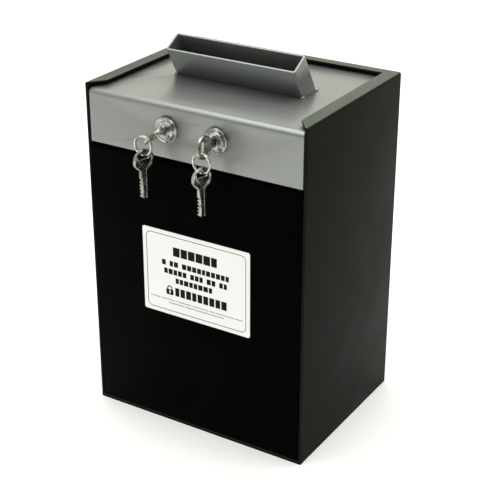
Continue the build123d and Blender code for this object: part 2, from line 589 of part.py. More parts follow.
def make_plug(name, x, turn):
    """Turning plug with its keyway, wafer slots, square tang and screw hole."""
    front = lock_plane(x, PLUG_FACE, -turn)
    with BuildPart() as plug:
        with BuildSketch(front):
            Circle(PLUG_HEAD / 2)
        extrude(amount=-(PLUG_HEAD_THICKNESS + PLUG_PROUD - RUN_FIT))
        chamfer(plug.faces().sort_by(Axis.Y)[0].edges(), length=PLUG_CHAMFER)
        with BuildSketch(front):
            Circle(PLUG_DIAMETER / 2)
        extrude(amount=-(BARREL_END - PLUG_FACE))
        with BuildSketch(front):
            Rectangle(TANG, TANG)
        extrude(amount=-(TANG_END - PLUG_FACE))
        with BuildSketch(front):
            Rectangle(KEY_SHEET + 2 * KEY_FIT, KEY_BLADE_WIDTH + 2 * KEY_FIT)
        extrude(amount=-(KEY_INSERTED + KEYWAY_EXTRA), mode=Mode.SUBTRACT)
        for depth in wafer_places():
            with BuildSketch(front.offset(-(depth - PLUG_FACE - SNUG_FIT))):
                Rectangle(WAFER_WIDTH + 2 * SNUG_FIT, WAFER_HEIGHT + 2 * SNUG_FIT)
            extrude(amount=-(WAFER + 2 * SNUG_FIT), mode=Mode.SUBTRACT)
        with BuildSketch(front.offset(-(TANG_END - PLUG_FACE))):
            Circle(CAM_SCREW_SHANK / 2 + RUN_FIT)
        extrude(amount=TANG_END - SCREW_TIP + CAM_SCREW_HOLE_EXTRA, mode=Mode.SUBTRACT)
    save(plug.part, f"{name}_plug")


def make_wafers(name, x, turn):
    """Wafers inside the plug, each with a window that the key passes through."""
    front = lock_plane(x, PLUG_FACE, -turn)
    with BuildPart() as wafers:
        for depth in wafer_places():
            with BuildSketch(front.offset(-(depth - PLUG_FACE))):
                Rectangle(WAFER_WIDTH, WAFER_HEIGHT)
                Rectangle(KEY_SHEET + 2 * EASY_FIT, KEY_BLADE_WIDTH + 2 * EASY_FIT, mode=Mode.SUBTRACT)
            extrude(amount=-WAFER)
    save(wafers.part, f"{name}_wafers")


def make_cam(name, x, angle, tang_turn, reach, pin):
    """Flat cam whose arm points angle degrees from +X; tang_turn sets its square hole, pin drills it."""
    arm = reach - CAM_WIDTH / 2
    with BuildPart() as cam:
        with BuildSketch(lock_plane(x, CAM_FRONT, angle)):
            Circle(CAM_HUB / 2)
            with Locations((arm / 2, 0)):
                Rectangle(arm, CAM_WIDTH)
            with Locations((arm, 0)):
                Circle(CAM_WIDTH / 2)
            if pin:
                with Locations((DRIVE_RADIUS, 0)):
                    Circle(DRIVE_PIN / 2 + RUN_FIT / 2, mode=Mode.SUBTRACT)
        extrude(amount=-CAM_SHEET)
        with BuildSketch(lock_plane(x, CAM_FRONT, angle + tang_turn)):
            Rectangle(TANG + 2 * RUN_FIT, TANG + 2 * RUN_FIT)
        extrude(amount=-CAM_SHEET, mode=Mode.SUBTRACT)
    save(cam.part, f"{name}_cam")


def make_cam_screw(name, x):
    """Pan-head screw that holds the cam on the tang."""
    with BuildPart() as cam_screw:
        with BuildSketch(lock_plane(x, CAM_BACK)):
            Circle(CAM_SCREW_HEAD / 2)
        extrude(amount=-CAM_SCREW_HEIGHT)
        fillet(cam_screw.faces().sort_by(Axis.Y)[-1].edges(), radius=CAM_SCREW_DOME)
        with BuildSketch(lock_plane(x, CAM_BACK + CAM_SCREW_HEIGHT)):
            with PolarLocations(0, 2, angular_range=180):
                Rectangle(RECESS_LENGTH, RECESS_WIDTH)
        extrude(amount=RECESS_DEPTH, mode=Mode.SUBTRACT)
        with BuildSketch(lock_plane(x, CAM_BACK)):
            Circle(CAM_SCREW_SHANK / 2)
        extrude(amount=CAM_SCREW_LENGTH)
    save(cam_screw.part, f"{name}_cam_screw")


def make_drive_pin():
    """Pin riveted into the right cam that moves the bolt."""
    x = LOCK_X - PIN_RISE
    plane = Plane(origin=(x, CAM_FRONT, LOCK_Z + PIN_RISE), x_dir=(1, 0, 0), z_dir=(0, 1, 0))
    with BuildPart() as drive_pin:
        with BuildSketch(plane):
            Circle(DRIVE_PIN / 2)
        extrude(amount=BOLT_BACK + PIN_PROUD - CAM_FRONT)
    save(drive_pin.part, "drive_pin")


# ---------------------------------------------------------------- keys and rings
def make_key(name, plane):
    """Flat double-sided key. The plane's origin is where bow and blade meet, its x runs to the tip."""
    half = KEY_BLADE_WIDTH / 2
    pitch = (KEY_BLADE_LENGTH - KEY_PLAIN - KEY_TIP_PLAIN) / KEY_NOTCHES
    with BuildPart() as key:
        with BuildSketch(plane):
            with Locations((-KEY_BOW_LENGTH / 2, 0)):
                Ellipse(KEY_BOW_LENGTH / 2, KEY_BOW_WIDTH / 2)
            with Locations(((KEY_BLADE_LENGTH - KEY_ROOT) / 2, 0)):
                Rectangle(KEY_BLADE_LENGTH + KEY_ROOT, KEY_BLADE_WIDTH)
            with Locations((KEY_SLOT_TO_END - KEY_BOW_LENGTH, 0)):
                SlotOverall(KEY_SLOT_WIDTH, KEY_SLOT_HEIGHT, rotation=90, mode=Mode.SUBTRACT)
            for index in range(KEY_NOTCHES):
                root = KEY_PLAIN + (index + 0.5) * pitch
                mouth = pitch * NOTCH_SHARE
                for side in (-1, 1):
                    with BuildLine():
                        Polyline(
                            (root - mouth, side * (half + NEAR)), (root, side * (half - KEY_NOTCH)),
                            (root + mouth, side * (half + NEAR)), close=True,
                        )
                    make_face(mode=Mode.SUBTRACT)
        extrude(amount=KEY_SHEET / 2, both=True)
        tip = key.edges().filter_by(Axis(plane.origin, plane.z_dir))
        tip = tip.sort_by(Axis(plane.origin, plane.x_dir))[-2:]
        chamfer(tip, length=KEY_TIP_CHAMFER)
    save(key.part, name)


def make_split_ring(name, centre):
    """Split ring, two turns of flat wire lying together."""
    plane = Plane(origin=centre, x_dir=(1, 0, 0), z_dir=(0, -1, 0))
    with BuildPart() as split_ring:
        with BuildSketch(Plane(origin=centre, x_dir=(1, 0, 0), z_dir=(0, 0, 1))):
            with Locations((RING_RADIUS, 0)):
                RectangleRounded(RING_WIRE, RING_STACK, RING_EDGE)
        revolve(axis=Axis(plane.origin, plane.z_dir))
    save(split_ring.part, name)


def make_key_set(name, x, turn):
    """Inserted key, its split ring and the spare key hanging from the ring."""
    lean = radians(turn)
    across = Vector(sin(lean), 0, cos(lean))
    inserted = Plane(origin=(x, SHOULDER, LOCK_Z), x_dir=(0, 1, 0), z_dir=Vector(0, 1, 0).cross(across))
    make_key(f"{name}_key", inserted)
    slot = Vector(x, SLOT_CENTRE, LOCK_Z)
    pivot = slot - across * SLOT_END_CENTRE
    centre = slot - across * (RING_IN_SLOT + RING_RADIUS)
    make_split_ring(f"{name}_split_ring", centre)
    bottom = centre - Vector(0, 0, RING_RADIUS)
    shoulder = bottom - Vector(0, 0, SPARE_IN_SLOT + KEY_BOW_LENGTH - KEY_SLOT_TO_END)
    twist = radians(SPARE_TWIST)
    spare = Plane(origin=shoulder, x_dir=(0, 0, -1), z_dir=(cos(twist), -sin(twist), 0))
    make_key(f"{name}_spare_key", spare)
    print(f"{name}: ring pivot", tuple(round(v, 4) for v in pivot), "spare pivot",
          tuple(round(v, 4) for v in bottom))


def main():
    """Build every piece and write the STEP files."""
    os.makedirs("parts", exist_ok=True)
    make_housing_shell()
    make_housing_floor()
    make_glide_strips()
    make_bolt_keeper()
    make_box_shell()
    make_box_front()
    make_notice_plate()
    make_lid_cover()
    make_deposit_chute()
    make_chute_baffle()
    make_lid_guides()
    make_bolt_guides()
    make_lock_bolt()
    make_drive_pin()
    for name, x, turn in (("left", -LOCK_X, LEFT_KEY_TURN), ("right", LOCK_X, 0)):
        make_lock_body(name, x)
        make_lock_nut(name, x)
        make_plug(name, x, turn)
        make_wafers(name, x, turn)
        make_cam_screw(name, x)
        make_key_set(name, x, turn)
    make_cam("left", -LOCK_X, -90 - LEFT_KEY_TURN, 0, LID_CAM_REACH, False)
    make_cam("right", LOCK_X, 180 - PIN_LIFT, PIN_LIFT, PIN_CAM_REACH, True)
    print("bolt travel", round(BOLT_TRAVEL, 4), "lock axis z", LOCK_Z)


main()
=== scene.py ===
"""Looks of a lockable cash drop box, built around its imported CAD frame.

Metres, +Z up. The front of the box faces -Y. Every piece's place comes from the frame.
"""
import json
import logging
from dataclasses import dataclass, field
from enum import Enum
from math import cos, pi, radians, sin, tan
from typing import Callable, Iterable, Sequence

import bmesh
import bpy
from mathutils import Matrix, Vector
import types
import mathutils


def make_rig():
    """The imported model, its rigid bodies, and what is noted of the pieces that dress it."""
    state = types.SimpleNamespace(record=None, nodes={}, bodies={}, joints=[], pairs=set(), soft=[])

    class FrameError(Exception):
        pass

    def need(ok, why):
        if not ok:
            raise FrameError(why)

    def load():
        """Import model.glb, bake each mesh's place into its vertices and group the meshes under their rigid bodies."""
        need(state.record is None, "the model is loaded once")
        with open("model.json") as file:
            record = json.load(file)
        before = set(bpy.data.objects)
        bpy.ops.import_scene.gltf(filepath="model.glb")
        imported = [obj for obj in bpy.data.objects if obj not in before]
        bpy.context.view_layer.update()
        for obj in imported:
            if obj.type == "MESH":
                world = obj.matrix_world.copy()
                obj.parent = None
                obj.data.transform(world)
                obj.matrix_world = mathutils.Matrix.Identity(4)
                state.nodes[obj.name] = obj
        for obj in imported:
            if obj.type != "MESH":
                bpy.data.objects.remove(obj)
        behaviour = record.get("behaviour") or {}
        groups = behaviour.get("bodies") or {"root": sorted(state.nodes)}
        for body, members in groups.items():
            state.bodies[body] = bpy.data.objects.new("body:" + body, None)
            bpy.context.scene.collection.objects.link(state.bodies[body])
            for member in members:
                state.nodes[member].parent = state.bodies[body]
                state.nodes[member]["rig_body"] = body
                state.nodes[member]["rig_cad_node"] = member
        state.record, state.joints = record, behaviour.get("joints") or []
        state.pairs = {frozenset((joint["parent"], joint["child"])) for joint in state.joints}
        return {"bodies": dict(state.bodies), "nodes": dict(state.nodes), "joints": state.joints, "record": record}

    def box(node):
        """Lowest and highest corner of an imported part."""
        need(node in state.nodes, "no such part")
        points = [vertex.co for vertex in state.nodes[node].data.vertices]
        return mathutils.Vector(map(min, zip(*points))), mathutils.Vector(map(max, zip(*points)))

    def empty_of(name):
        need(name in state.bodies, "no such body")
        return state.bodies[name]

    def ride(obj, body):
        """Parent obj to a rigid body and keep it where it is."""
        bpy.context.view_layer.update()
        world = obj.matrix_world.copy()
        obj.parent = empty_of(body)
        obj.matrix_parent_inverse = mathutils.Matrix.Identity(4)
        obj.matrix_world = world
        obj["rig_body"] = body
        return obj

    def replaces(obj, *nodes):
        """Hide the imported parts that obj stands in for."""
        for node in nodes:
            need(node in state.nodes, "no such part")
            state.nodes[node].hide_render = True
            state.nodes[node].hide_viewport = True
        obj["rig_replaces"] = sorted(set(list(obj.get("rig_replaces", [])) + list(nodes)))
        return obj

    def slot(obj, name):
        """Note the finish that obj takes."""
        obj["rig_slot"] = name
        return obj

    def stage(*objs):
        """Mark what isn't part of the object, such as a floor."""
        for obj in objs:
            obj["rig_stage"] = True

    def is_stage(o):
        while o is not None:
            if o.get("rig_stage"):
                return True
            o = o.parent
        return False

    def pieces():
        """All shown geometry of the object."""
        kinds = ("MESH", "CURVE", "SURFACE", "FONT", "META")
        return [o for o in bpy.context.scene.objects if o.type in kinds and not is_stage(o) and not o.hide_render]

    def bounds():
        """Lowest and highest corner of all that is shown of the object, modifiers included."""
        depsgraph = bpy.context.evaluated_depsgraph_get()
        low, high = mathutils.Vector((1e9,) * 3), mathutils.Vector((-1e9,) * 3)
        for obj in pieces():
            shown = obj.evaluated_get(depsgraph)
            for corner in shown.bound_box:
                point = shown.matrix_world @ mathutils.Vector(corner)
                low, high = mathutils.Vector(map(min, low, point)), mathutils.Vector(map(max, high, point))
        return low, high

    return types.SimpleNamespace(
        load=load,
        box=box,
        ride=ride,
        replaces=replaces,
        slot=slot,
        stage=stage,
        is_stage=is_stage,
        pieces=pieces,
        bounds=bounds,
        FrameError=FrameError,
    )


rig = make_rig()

LOG = logging.getLogger("drop_box")
MM = 0.001
NEAR = 1e-6
SPARE = 1.0 * MM
Point = tuple[float, float]
Link = tuple[bpy.types.Node, str | int, bpy.types.Node, str | int]
Group = tuple[bpy.types.NodeTree, bpy.types.Node, bpy.types.Node]


# ---------------------------------------------------------------- finishes
class Finish(Enum):
    """The material slots of the record."""

    POWDER = "black_powder_coat"
    GLOSS = "black_gloss_coat"
    SILVER = "silver_lid"
    VINYL = "notice_vinyl"
    CHROME = "lock_chrome"
    NICKEL = "nickel_key"
    RING = "ring_steel"
    ZINC = "zinc_steel"
    BRASS = "brass_wafer"
    NYLON = "white_nylon"


def add_node(tree: bpy.types.NodeTree, kind: str, **settings: object) -> bpy.types.Node:
    """Add a node to a tree.

    Args:
        tree: The tree that gets the node.
        kind: Blender's type name for the node.
        settings: Properties of the node; a name that is none of its properties is an input socket.

    Returns:
        The new node.
    """
    node = tree.nodes.new(kind)
    for name, value in settings.items():
        if hasattr(node, name):
            setattr(node, name, value)
        else:
            node.inputs[name.replace("_", " ")].default_value = value
    return node


def wire(tree: bpy.types.NodeTree, links: Iterable[Link]) -> None:
    """Link the nodes of a tree.

    Args:
        tree: The tree.
        links: For each link, the node it leaves, its output, the node it enters and its input.
    """
    for source, output, sink, entry in links:
        tree.links.new(source.outputs[output], sink.inputs[entry])


def open_group(name: str, kind: str, inputs: Sequence[tuple[str, str, object]],
               outputs: Sequence[tuple[str, str]]) -> Group:
    """Start a node group with named sockets.

    Args:
        name: The group's name.
        kind: ShaderNodeTree or GeometryNodeTree.
        inputs: Name, socket type and default of each input.
        outputs: Name and socket type of each output.

    Returns:
        The tree, its input node and its output node.
    """
    tree = bpy.data.node_groups.new(name, kind)
    for label, socket_type, default in inputs:
        socket = tree.interface.new_socket(label, in_out="INPUT", socket_type=socket_type)
        if default is not None:
            socket.default_value = default
    for label, socket_type in outputs:
        tree.interface.new_socket(label, in_out="OUTPUT", socket_type=socket_type)
    return tree, tree.nodes.new("NodeGroupInput"), tree.nodes.new("NodeGroupOutput")


def build_grain_group() -> bpy.types.NodeTree:
    """Shader group: the height of a sprayed or cast surface, from two sizes of lump.

    Returns:
        The group, which puts out Height from 0 to 1.
    """
    tree, start, end = open_group(
        "sprayed_grain", "ShaderNodeTree",
        [("Vector", "NodeSocketVector", None), ("Lumps per metre", "NodeSocketFloat", 1200.0),
         ("Fine share", "NodeSocketFloat", 0.35)],
        [("Height", "NodeSocketFloat")])
    coarse = add_node(tree, "ShaderNodeTexNoise", Detail=1.0, Roughness=0.5)
    fine = add_node(tree, "ShaderNodeTexNoise", Detail=2.0, Roughness=0.6)
    finer = add_node(tree, "ShaderNodeMath", operation="MULTIPLY")
    finer.inputs[1].default_value = 2.7
    blend = add_node(tree, "ShaderNodeMix", data_type="FLOAT")
    wire(tree, (
        (start, "Lumps per metre", finer, 0), (start, "Vector", coarse, "Vector"),
        (start, "Vector", fine, "Vector"), (start, "Lumps per metre", coarse, "Scale"),
        (finer, 0, fine, "Scale"), (start, "Fine share", blend, "Factor"), (coarse, "Fac", blend, "A"),
        (fine, "Fac", blend, "B"), (blend, "Result", end, "Height")))
    return tree


def build_tone_group() -> bpy.types.NodeTree:
    """Shader group: slow drift of colour and roughness over a handled surface; on the lock chrome and the keys its
    dark patches are painted reflections.

    Returns:
        The group, which puts out Colour and Roughness.
    """
    tree, start, end = open_group(
        "wear_and_reflection_tone", "ShaderNodeTree",
        [("Vector", "NodeSocketVector", None), ("Patches per metre", "NodeSocketFloat", 25.0),
         ("Colour", "NodeSocketColor", (0.5, 0.5, 0.5, 1.0)),
         ("Wear and reflection colour", "NodeSocketColor", (0.6, 0.6, 0.6, 1.0)),
         ("Smooth", "NodeSocketFloat", 0.3), ("Rough", "NodeSocketFloat", 0.5)],
        [("Colour", "NodeSocketColor"), ("Roughness", "NodeSocketFloat")])
    patches = add_node(tree, "ShaderNodeTexNoise", Detail=4.0, Roughness=0.6, Distortion=0.4)
    spread = add_node(tree, "ShaderNodeMapRange", interpolation_type="SMOOTHSTEP")
    spread.inputs["From Min"].default_value = 0.3
    spread.inputs["From Max"].default_value = 0.7
    tint = add_node(tree, "ShaderNodeMix", data_type="RGBA")
    polish = add_node(tree, "ShaderNodeMix", data_type="FLOAT")
    wire(tree, (
        (start, "Vector", patches, "Vector"), (start, "Patches per metre", patches, "Scale"),
        (patches, "Fac", spread, "Value"), (spread, "Result", tint, "Factor"),
        (start, "Colour", tint, 6), (start, "Wear and reflection colour", tint, 7),
        (spread, "Result", polish, "Factor"), (start, "Smooth", polish, 2), (start, "Rough", polish, 3),
        (tint, 2, end, "Colour"), (polish, 0, end, "Roughness")))
    return tree


def build_dust_and_sheen_group() -> bpy.types.NodeTree:
    """Shader group: a thin pale dust film on the faces that look up, with a painted sheen that lightens them as if lit
    from above.

    Returns:
        The group, which puts out Colour.
    """
    tree, start, end = open_group(
        "dust_and_painted_sheen", "ShaderNodeTree",
        [("Vector", "NodeSocketVector", None), ("Colour", "NodeSocketColor", (0.01, 0.01, 0.01, 1.0)),
         ("Amount", "NodeSocketFloat", 0.5), ("Dust and sheen colour", "NodeSocketColor", (0.165, 0.175, 0.150, 1.0))],
        [("Colour", "NodeSocketColor")])
    # Painted sheen mixed with dust: the more a face looks up, the more it is pulled to a pale colour.
    facing = add_node(tree, "ShaderNodeNewGeometry")
    parts = add_node(tree, "ShaderNodeSeparateXYZ")
    upward = add_node(tree, "ShaderNodeMapRange", interpolation_type="SMOOTHSTEP")
    upward.inputs["From Min"].default_value = 0.55
    upward.inputs["From Max"].default_value = 0.98
    specks = add_node(tree, "ShaderNodeTexNoise", Scale=1400.0, Detail=3.0, Roughness=0.7)
    spread = add_node(tree, "ShaderNodeMapRange")
    spread.inputs["From Min"].default_value = 0.30
    spread.inputs["From Max"].default_value = 0.75
    spread.inputs["To Min"].default_value = 0.45
    share = add_node(tree, "ShaderNodeMath", operation="MULTIPLY")
    dust_and_sheen_mix = add_node(tree, "ShaderNodeMath", operation="MULTIPLY", use_clamp=True)
    tint = add_node(tree, "ShaderNodeMix", data_type="RGBA")
    wire(tree, (
        (facing, "Normal", parts, "Vector"), (parts, "Z", upward, "Value"),
        (start, "Vector", specks, "Vector"), (specks, "Fac", spread, "Value"),
        (upward, "Result", share, 0), (start, "Amount", share, 1), (share, 0, dust_and_sheen_mix, 0),
        (spread, "Result", dust_and_sheen_mix, 1), (dust_and_sheen_mix, 0, tint, "Factor"), (start, "Colour", tint, 6),
        (start, "Dust and sheen colour", tint, 7), (tint, 2, end, "Colour")))
    return tree


def build_scratch_group() -> bpy.types.NodeTree:
    """Shader group: sparse fine scratches, as thin level lines of a stretched noise.

    Returns:
        The group, which puts out Mask, 1 in a scratch.
    """
    tree, start, end = open_group(
        "fine_scratches", "ShaderNodeTree",
        [("Vector", "NodeSocketVector", None), ("Lines per metre", "NodeSocketFloat", 300.0),
         ("Line width", "NodeSocketFloat", 0.012)],
        [("Mask", "NodeSocketFloat")])
    stretch = add_node(tree, "ShaderNodeMapping")
    stretch.inputs["Rotation"].default_value = (0.3, 0.9, 0.5)
    stretch.inputs["Scale"].default_value = (1.0, 0.25, 0.6)
    noise = add_node(tree, "ShaderNodeTexNoise", Detail=3.0, Roughness=0.45, Distortion=0.8)
    middle = add_node(tree, "ShaderNodeMath", operation="SUBTRACT")
    middle.inputs[1].default_value = 0.5
    size = add_node(tree, "ShaderNodeMath", operation="ABSOLUTE")
    line = add_node(tree, "ShaderNodeMath", operation="LESS_THAN")
    gaps = add_node(tree, "ShaderNodeTexNoise", Scale=90.0, Detail=1.0)
    keep = add_node(tree, "ShaderNodeMath", operation="GREATER_THAN")
    keep.inputs[1].default_value = 0.55
    both = add_node(tree, "ShaderNodeMath", operation="MULTIPLY")
    wire(tree, (
        (start, "Vector", stretch, "Vector"), (start, "Vector", gaps, "Vector"),
        (stretch, "Vector", noise, "Vector"), (start, "Lines per metre", noise, "Scale"),
        (noise, "Fac", middle, 0), (middle, 0, size, 0), (size, 0, line, 0),
        (start, "Line width", line, 1), (gaps, "Fac", keep, 0), (line, 0, both, 0), (keep, 0, both, 1),
        (both, 0, end, "Mask")))
    return tree


@dataclass(frozen=True)
class SurfaceFinish:
    """One finish: its two tones, its gloss, its grain and its scratches."""

    name: str
    colour: tuple[float, float, float]
    # Second tone: wear on most finishes, painted reflections on the lock chrome and the keys.
    wear_and_reflection: tuple[float, float, float]
    smooth: float
    rough: float
    metallic: float = 0.0
    specular: float = 0.5
    coat: float = 0.0
    # Upward faces lightened: part dust, part a painted sheen of the light from above.
    dust_and_sheen: float = 0.0
    patches: float = 25.0
    lumps: float = 1200.0
    fine_share: float = 0.35
    bump: float = 0.2
    bump_height: float = 0.02 * MM
    scratches: float = 0.0
    scratch_lines: float = 300.0

    def build(self, groups: dict[str, bpy.types.NodeTree]) -> bpy.types.Material:
        """Make the material.

        Args:
            groups: The shader groups by name.

        Returns:
            The finished material.
        """
        material = bpy.data.materials.new(self.name)
        material.use_nodes = True
        tree = material.node_tree
        shader = tree.nodes["Principled BSDF"]
        shader.inputs["Metallic"].default_value = self.metallic
        shader.inputs["Specular IOR Level"].default_value = self.specular
        shader.inputs["Coat Weight"].default_value = self.coat
        shader.inputs["Coat Roughness"].default_value = 0.12
        place = add_node(tree, "ShaderNodeTexCoord")
        tone = add_node(tree, "ShaderNodeGroup", node_tree=groups["tone"])
        tone.inputs["Patches per metre"].default_value = self.patches
        tone.inputs["Colour"].default_value = (*self.colour, 1.0)
        tone.inputs["Wear and reflection colour"].default_value = (*self.wear_and_reflection, 1.0)
        tone.inputs["Smooth"].default_value = self.smooth
        tone.inputs["Rough"].default_value = self.rough
        grain = add_node(tree, "ShaderNodeGroup", node_tree=groups["grain"])
        grain.inputs["Lumps per metre"].default_value = self.lumps
        grain.inputs["Fine share"].default_value = self.fine_share
        bump = add_node(tree, "ShaderNodeBump", Strength=self.bump, Distance=self.bump_height)
        wire(tree, (
            (place, "Object", tone, "Vector"), (place, "Object", grain, "Vector")))
        coloured = tone
        # Painted sheen mixed with dust on the faces that look up.
        if self.dust_and_sheen:
            dust_and_sheen_mix = add_node(tree, "ShaderNodeGroup", node_tree=groups["dust_and_sheen"])
            dust_and_sheen_mix.inputs["Amount"].default_value = self.dust_and_sheen
            wire(tree, (
                (coloured, "Colour", dust_and_sheen_mix, "Colour"), (place, "Object", dust_and_sheen_mix, "Vector")))
            coloured = dust_and_sheen_mix
        wire(tree, (
            (coloured, "Colour", shader, "Base Color"), (grain, "Height", bump, "Height"),
            (bump, "Normal", shader, "Normal")))
        if self.scratches:
            self.scratch(tree, groups["scratches"], place, tone, shader)
        else:
            tree.links.new(tone.outputs["Roughness"], shader.inputs["Roughness"])
        return material

    def scratch(self, tree: bpy.types.NodeTree, group: bpy.types.NodeTree, place: bpy.types.Node,
                tone: bpy.types.Node, shader: bpy.types.Node) -> None:
        """Roughen the surface along its scratches.

        Args:
            tree: The material's tree.
            group: The scratch group.
            place: The texture coordinate node.
            tone: The tone node, whose roughness is changed.
            shader: The material's shader.
        """
        lines = add_node(tree, "ShaderNodeGroup", node_tree=group)
        lines.inputs["Lines per metre"].default_value = self.scratch_lines
        amount = add_node(tree, "ShaderNodeMath", operation="MULTIPLY")
        amount.inputs[1].default_value = self.scratches
        total = add_node(tree, "ShaderNodeMath", operation="ADD", use_clamp=True)
        wire(tree, (
            (place, "Object", lines, "Vector"), (lines, "Mask", amount, 0), (amount, 0, total, 0),
            (tone, "Roughness", total, 1), (total, 0, shader, "Roughness")))


FINISHES: dict[Finish, SurfaceFinish] = {
    Finish.POWDER: SurfaceFinish(
        "black_powder_coat", (0.0042, 0.0049, 0.0037), (0.0070, 0.0080, 0.0060), 0.42, 0.52, specular=0.028,
        # The lips' tops and other upward faces get dust and a painted sheen.
        dust_and_sheen=0.75, lumps=900.0, fine_share=0.4, bump=0.9, bump_height=0.09 * MM),
    Finish.GLOSS: SurfaceFinish(
        "black_gloss_coat", (0.0006, 0.0006, 0.0006), (0.0012, 0.0012, 0.0012), 0.28, 0.36, specular=0.006,
        lumps=500.0, fine_share=0.2, bump=0.25, bump_height=0.03 * MM),
    Finish.SILVER: SurfaceFinish(
        "silver_lid", (0.222, 0.229, 0.227), (0.247, 0.254, 0.252), 0.32, 0.42, metallic=0.75,
        lumps=1500.0, fine_share=0.5, bump=0.35, bump_height=0.02 * MM, patches=14.0),
    Finish.VINYL: SurfaceFinish(
        "notice_vinyl", (0.80, 0.80, 0.81), (0.83, 0.83, 0.84), 0.32, 0.40, specular=0.3,
        lumps=700.0, bump=0.08, bump_height=0.02 * MM),
    # Painted reflections: the dark second colour, in small patches, stands in for dark reflections on the lock chrome.
    Finish.CHROME: SurfaceFinish(
        "lock_chrome", (0.50, 0.50, 0.49), (0.13, 0.13, 0.125), 0.07, 0.16, metallic=1.0,
        lumps=2500.0, bump=0.06, bump_height=0.01 * MM, patches=180.0, scratches=0.22, scratch_lines=700.0),
    # Painted reflections: the dark second colour, in small patches, stands in for dark reflections on the keys.
    Finish.NICKEL: SurfaceFinish(
        "nickel_key", (0.45, 0.445, 0.41), (0.14, 0.137, 0.125), 0.14, 0.28, metallic=1.0,
        lumps=2600.0, bump=0.18, bump_height=0.02 * MM, patches=260.0, scratches=0.25, scratch_lines=800.0),
    Finish.RING: SurfaceFinish(
        "ring_steel", (0.66, 0.66, 0.64), (0.34, 0.34, 0.33), 0.10, 0.20, metallic=1.0,
        lumps=3000.0, bump=0.08, bump_height=0.01 * MM, patches=300.0, scratches=0.2, scratch_lines=900.0),
    Finish.ZINC: SurfaceFinish(
        "zinc_steel", (0.48, 0.50, 0.52), (0.58, 0.58, 0.54), 0.28, 0.42, metallic=1.0,
        lumps=900.0, bump=0.15, bump_height=0.02 * MM, patches=90.0, scratches=0.2),
    Finish.BRASS: SurfaceFinish(
        "brass_wafer", (0.72, 0.50, 0.20), (0.60, 0.40, 0.15), 0.22, 0.35, metallic=1.0,
        lumps=2000.0, bump=0.1, bump_height=0.01 * MM, patches=300.0),
    Finish.NYLON: SurfaceFinish(
        "white_nylon", (0.72, 0.71, 0.67), (0.66, 0.65, 0.60), 0.45, 0.58, specular=0.4,
        lumps=800.0, bump=0.2, bump_height=0.02 * MM),
}
INK = SurfaceFinish("printed_ink", (0.004, 0.004, 0.004), (0.008, 0.008, 0.008), 0.50, 0.60, specular=0.06,
                    lumps=1500.0, bump=0.05, bump_height=0.01 * MM)
FAINT_INK = SurfaceFinish("faint_ink", (0.22, 0.22, 0.22), (0.28, 0.28, 0.28), 0.40, 0.50, specular=0.3,
                          lumps=1500.0, bump=0.05, bump_height=0.01 * MM)


# ---------------------------------------------------------------- mesh work
def object_from(name: str, verts: Sequence[Sequence[float]],
                faces: Sequence[Sequence[int]]) -> bpy.types.Object:
    """Make a linked mesh object with outward faces.

    Args:
        name: The object's name.
        verts: Vertex places, in metres.
        faces: Vertex numbers of each face.

    Returns:
        The new object.
    """
    mesh = bpy.data.meshes.new(name)
    mesh.from_pydata([tuple(v) for v in verts], [], [tuple(f) for f in faces])
    shape = bmesh.new()
    shape.from_mesh(mesh)
    bmesh.ops.remove_doubles(shape, verts=shape.verts, dist=0.0005 * MM)
    bmesh.ops.recalc_face_normals(shape, faces=shape.faces)
    shape.to_mesh(mesh)
    shape.free()
    made = bpy.data.objects.new(name, mesh)
    bpy.context.scene.collection.objects.link(made)
    return made


def as_given(first: float, second: float, third: float) -> Vector:
    """Place an outline drawn in x and y, pushed along z."""
    return Vector((first, second, third))


def from_the_side(first: float, second: float, third: float) -> Vector:
    """Place an outline drawn in y and z, pushed along x."""
    return Vector((third, first, second))


def from_the_front(first: float, second: float, third: float) -> Vector:
    """Place an outline drawn in x and z, pushed along y."""
    return Vector((first, third, second))


def prism(name: str, outline: Sequence[Point], start: float, end: float,
          place: Callable[[float, float, float], Vector]) -> bpy.types.Object:
    """Push a closed outline along its third direction.

    Args:
        name: The object's name.
        outline: Points of the outline, in order.
        start: Where the prism starts along the third direction.
        end: Where it ends.
        place: Turns (first, second, third) coordinates into a place.

    Returns:
        The prism.
    """
    count = len(outline)
    verts = [place(a, b, start) for a, b in outline] + [place(a, b, end) for a, b in outline]
    faces = [list(range(count)), list(range(2 * count - 1, count - 1, -1))]
    faces += [[i, (i + 1) % count, count + (i + 1) % count, count + i] for i in range(count)]
    return object_from(name, verts, faces)


def block(name: str, low: Sequence[float], high: Sequence[float]) -> bpy.types.Object:
    """A rectangular block between two corners, used to cut or join.

    Args:
        name: The object's name.
        low: The lowest corner.
        high: The highest corner.

    Returns:
        The block.
    """
    outline = [(low[0], low[1]), (high[0], low[1]), (high[0], high[1]), (low[0], high[1])]
    return prism(name, outline, low[2], high[2], as_given)


def hollow(name: str, loops: Sequence[Sequence[Vector]]) -> bpy.types.Object:
    """Close four loops of one length into a ring with a hole through it.

    Args:
        name: The object's name.
        loops: The loops, of which 0 and 1, 2 and 3, 0 and 2, and 1 and 3 are neighbours.

    Returns:
        The ring.
    """
    count = len(loops[0])
    faces = []
    for first, second in ((0, 1), (2, 3), (0, 2), (1, 3)):
        for i in range(count):
            j = (i + 1) % count
            faces.append([first * count + i, first * count + j, second * count + j, second * count + i])
    return object_from(name, [v for loop in loops for v in loop], faces)


def arc(centre: Point, radius: float, start: float, end: float, steps: int) -> list[Point]:
    """Points of a round stretch, from start to end in degrees."""
    turns = [radians(start + (end - start) * i / steps) for i in range(steps + 1)]
    return [(centre[0] + radius * cos(t), centre[1] + radius * sin(t)) for t in turns]


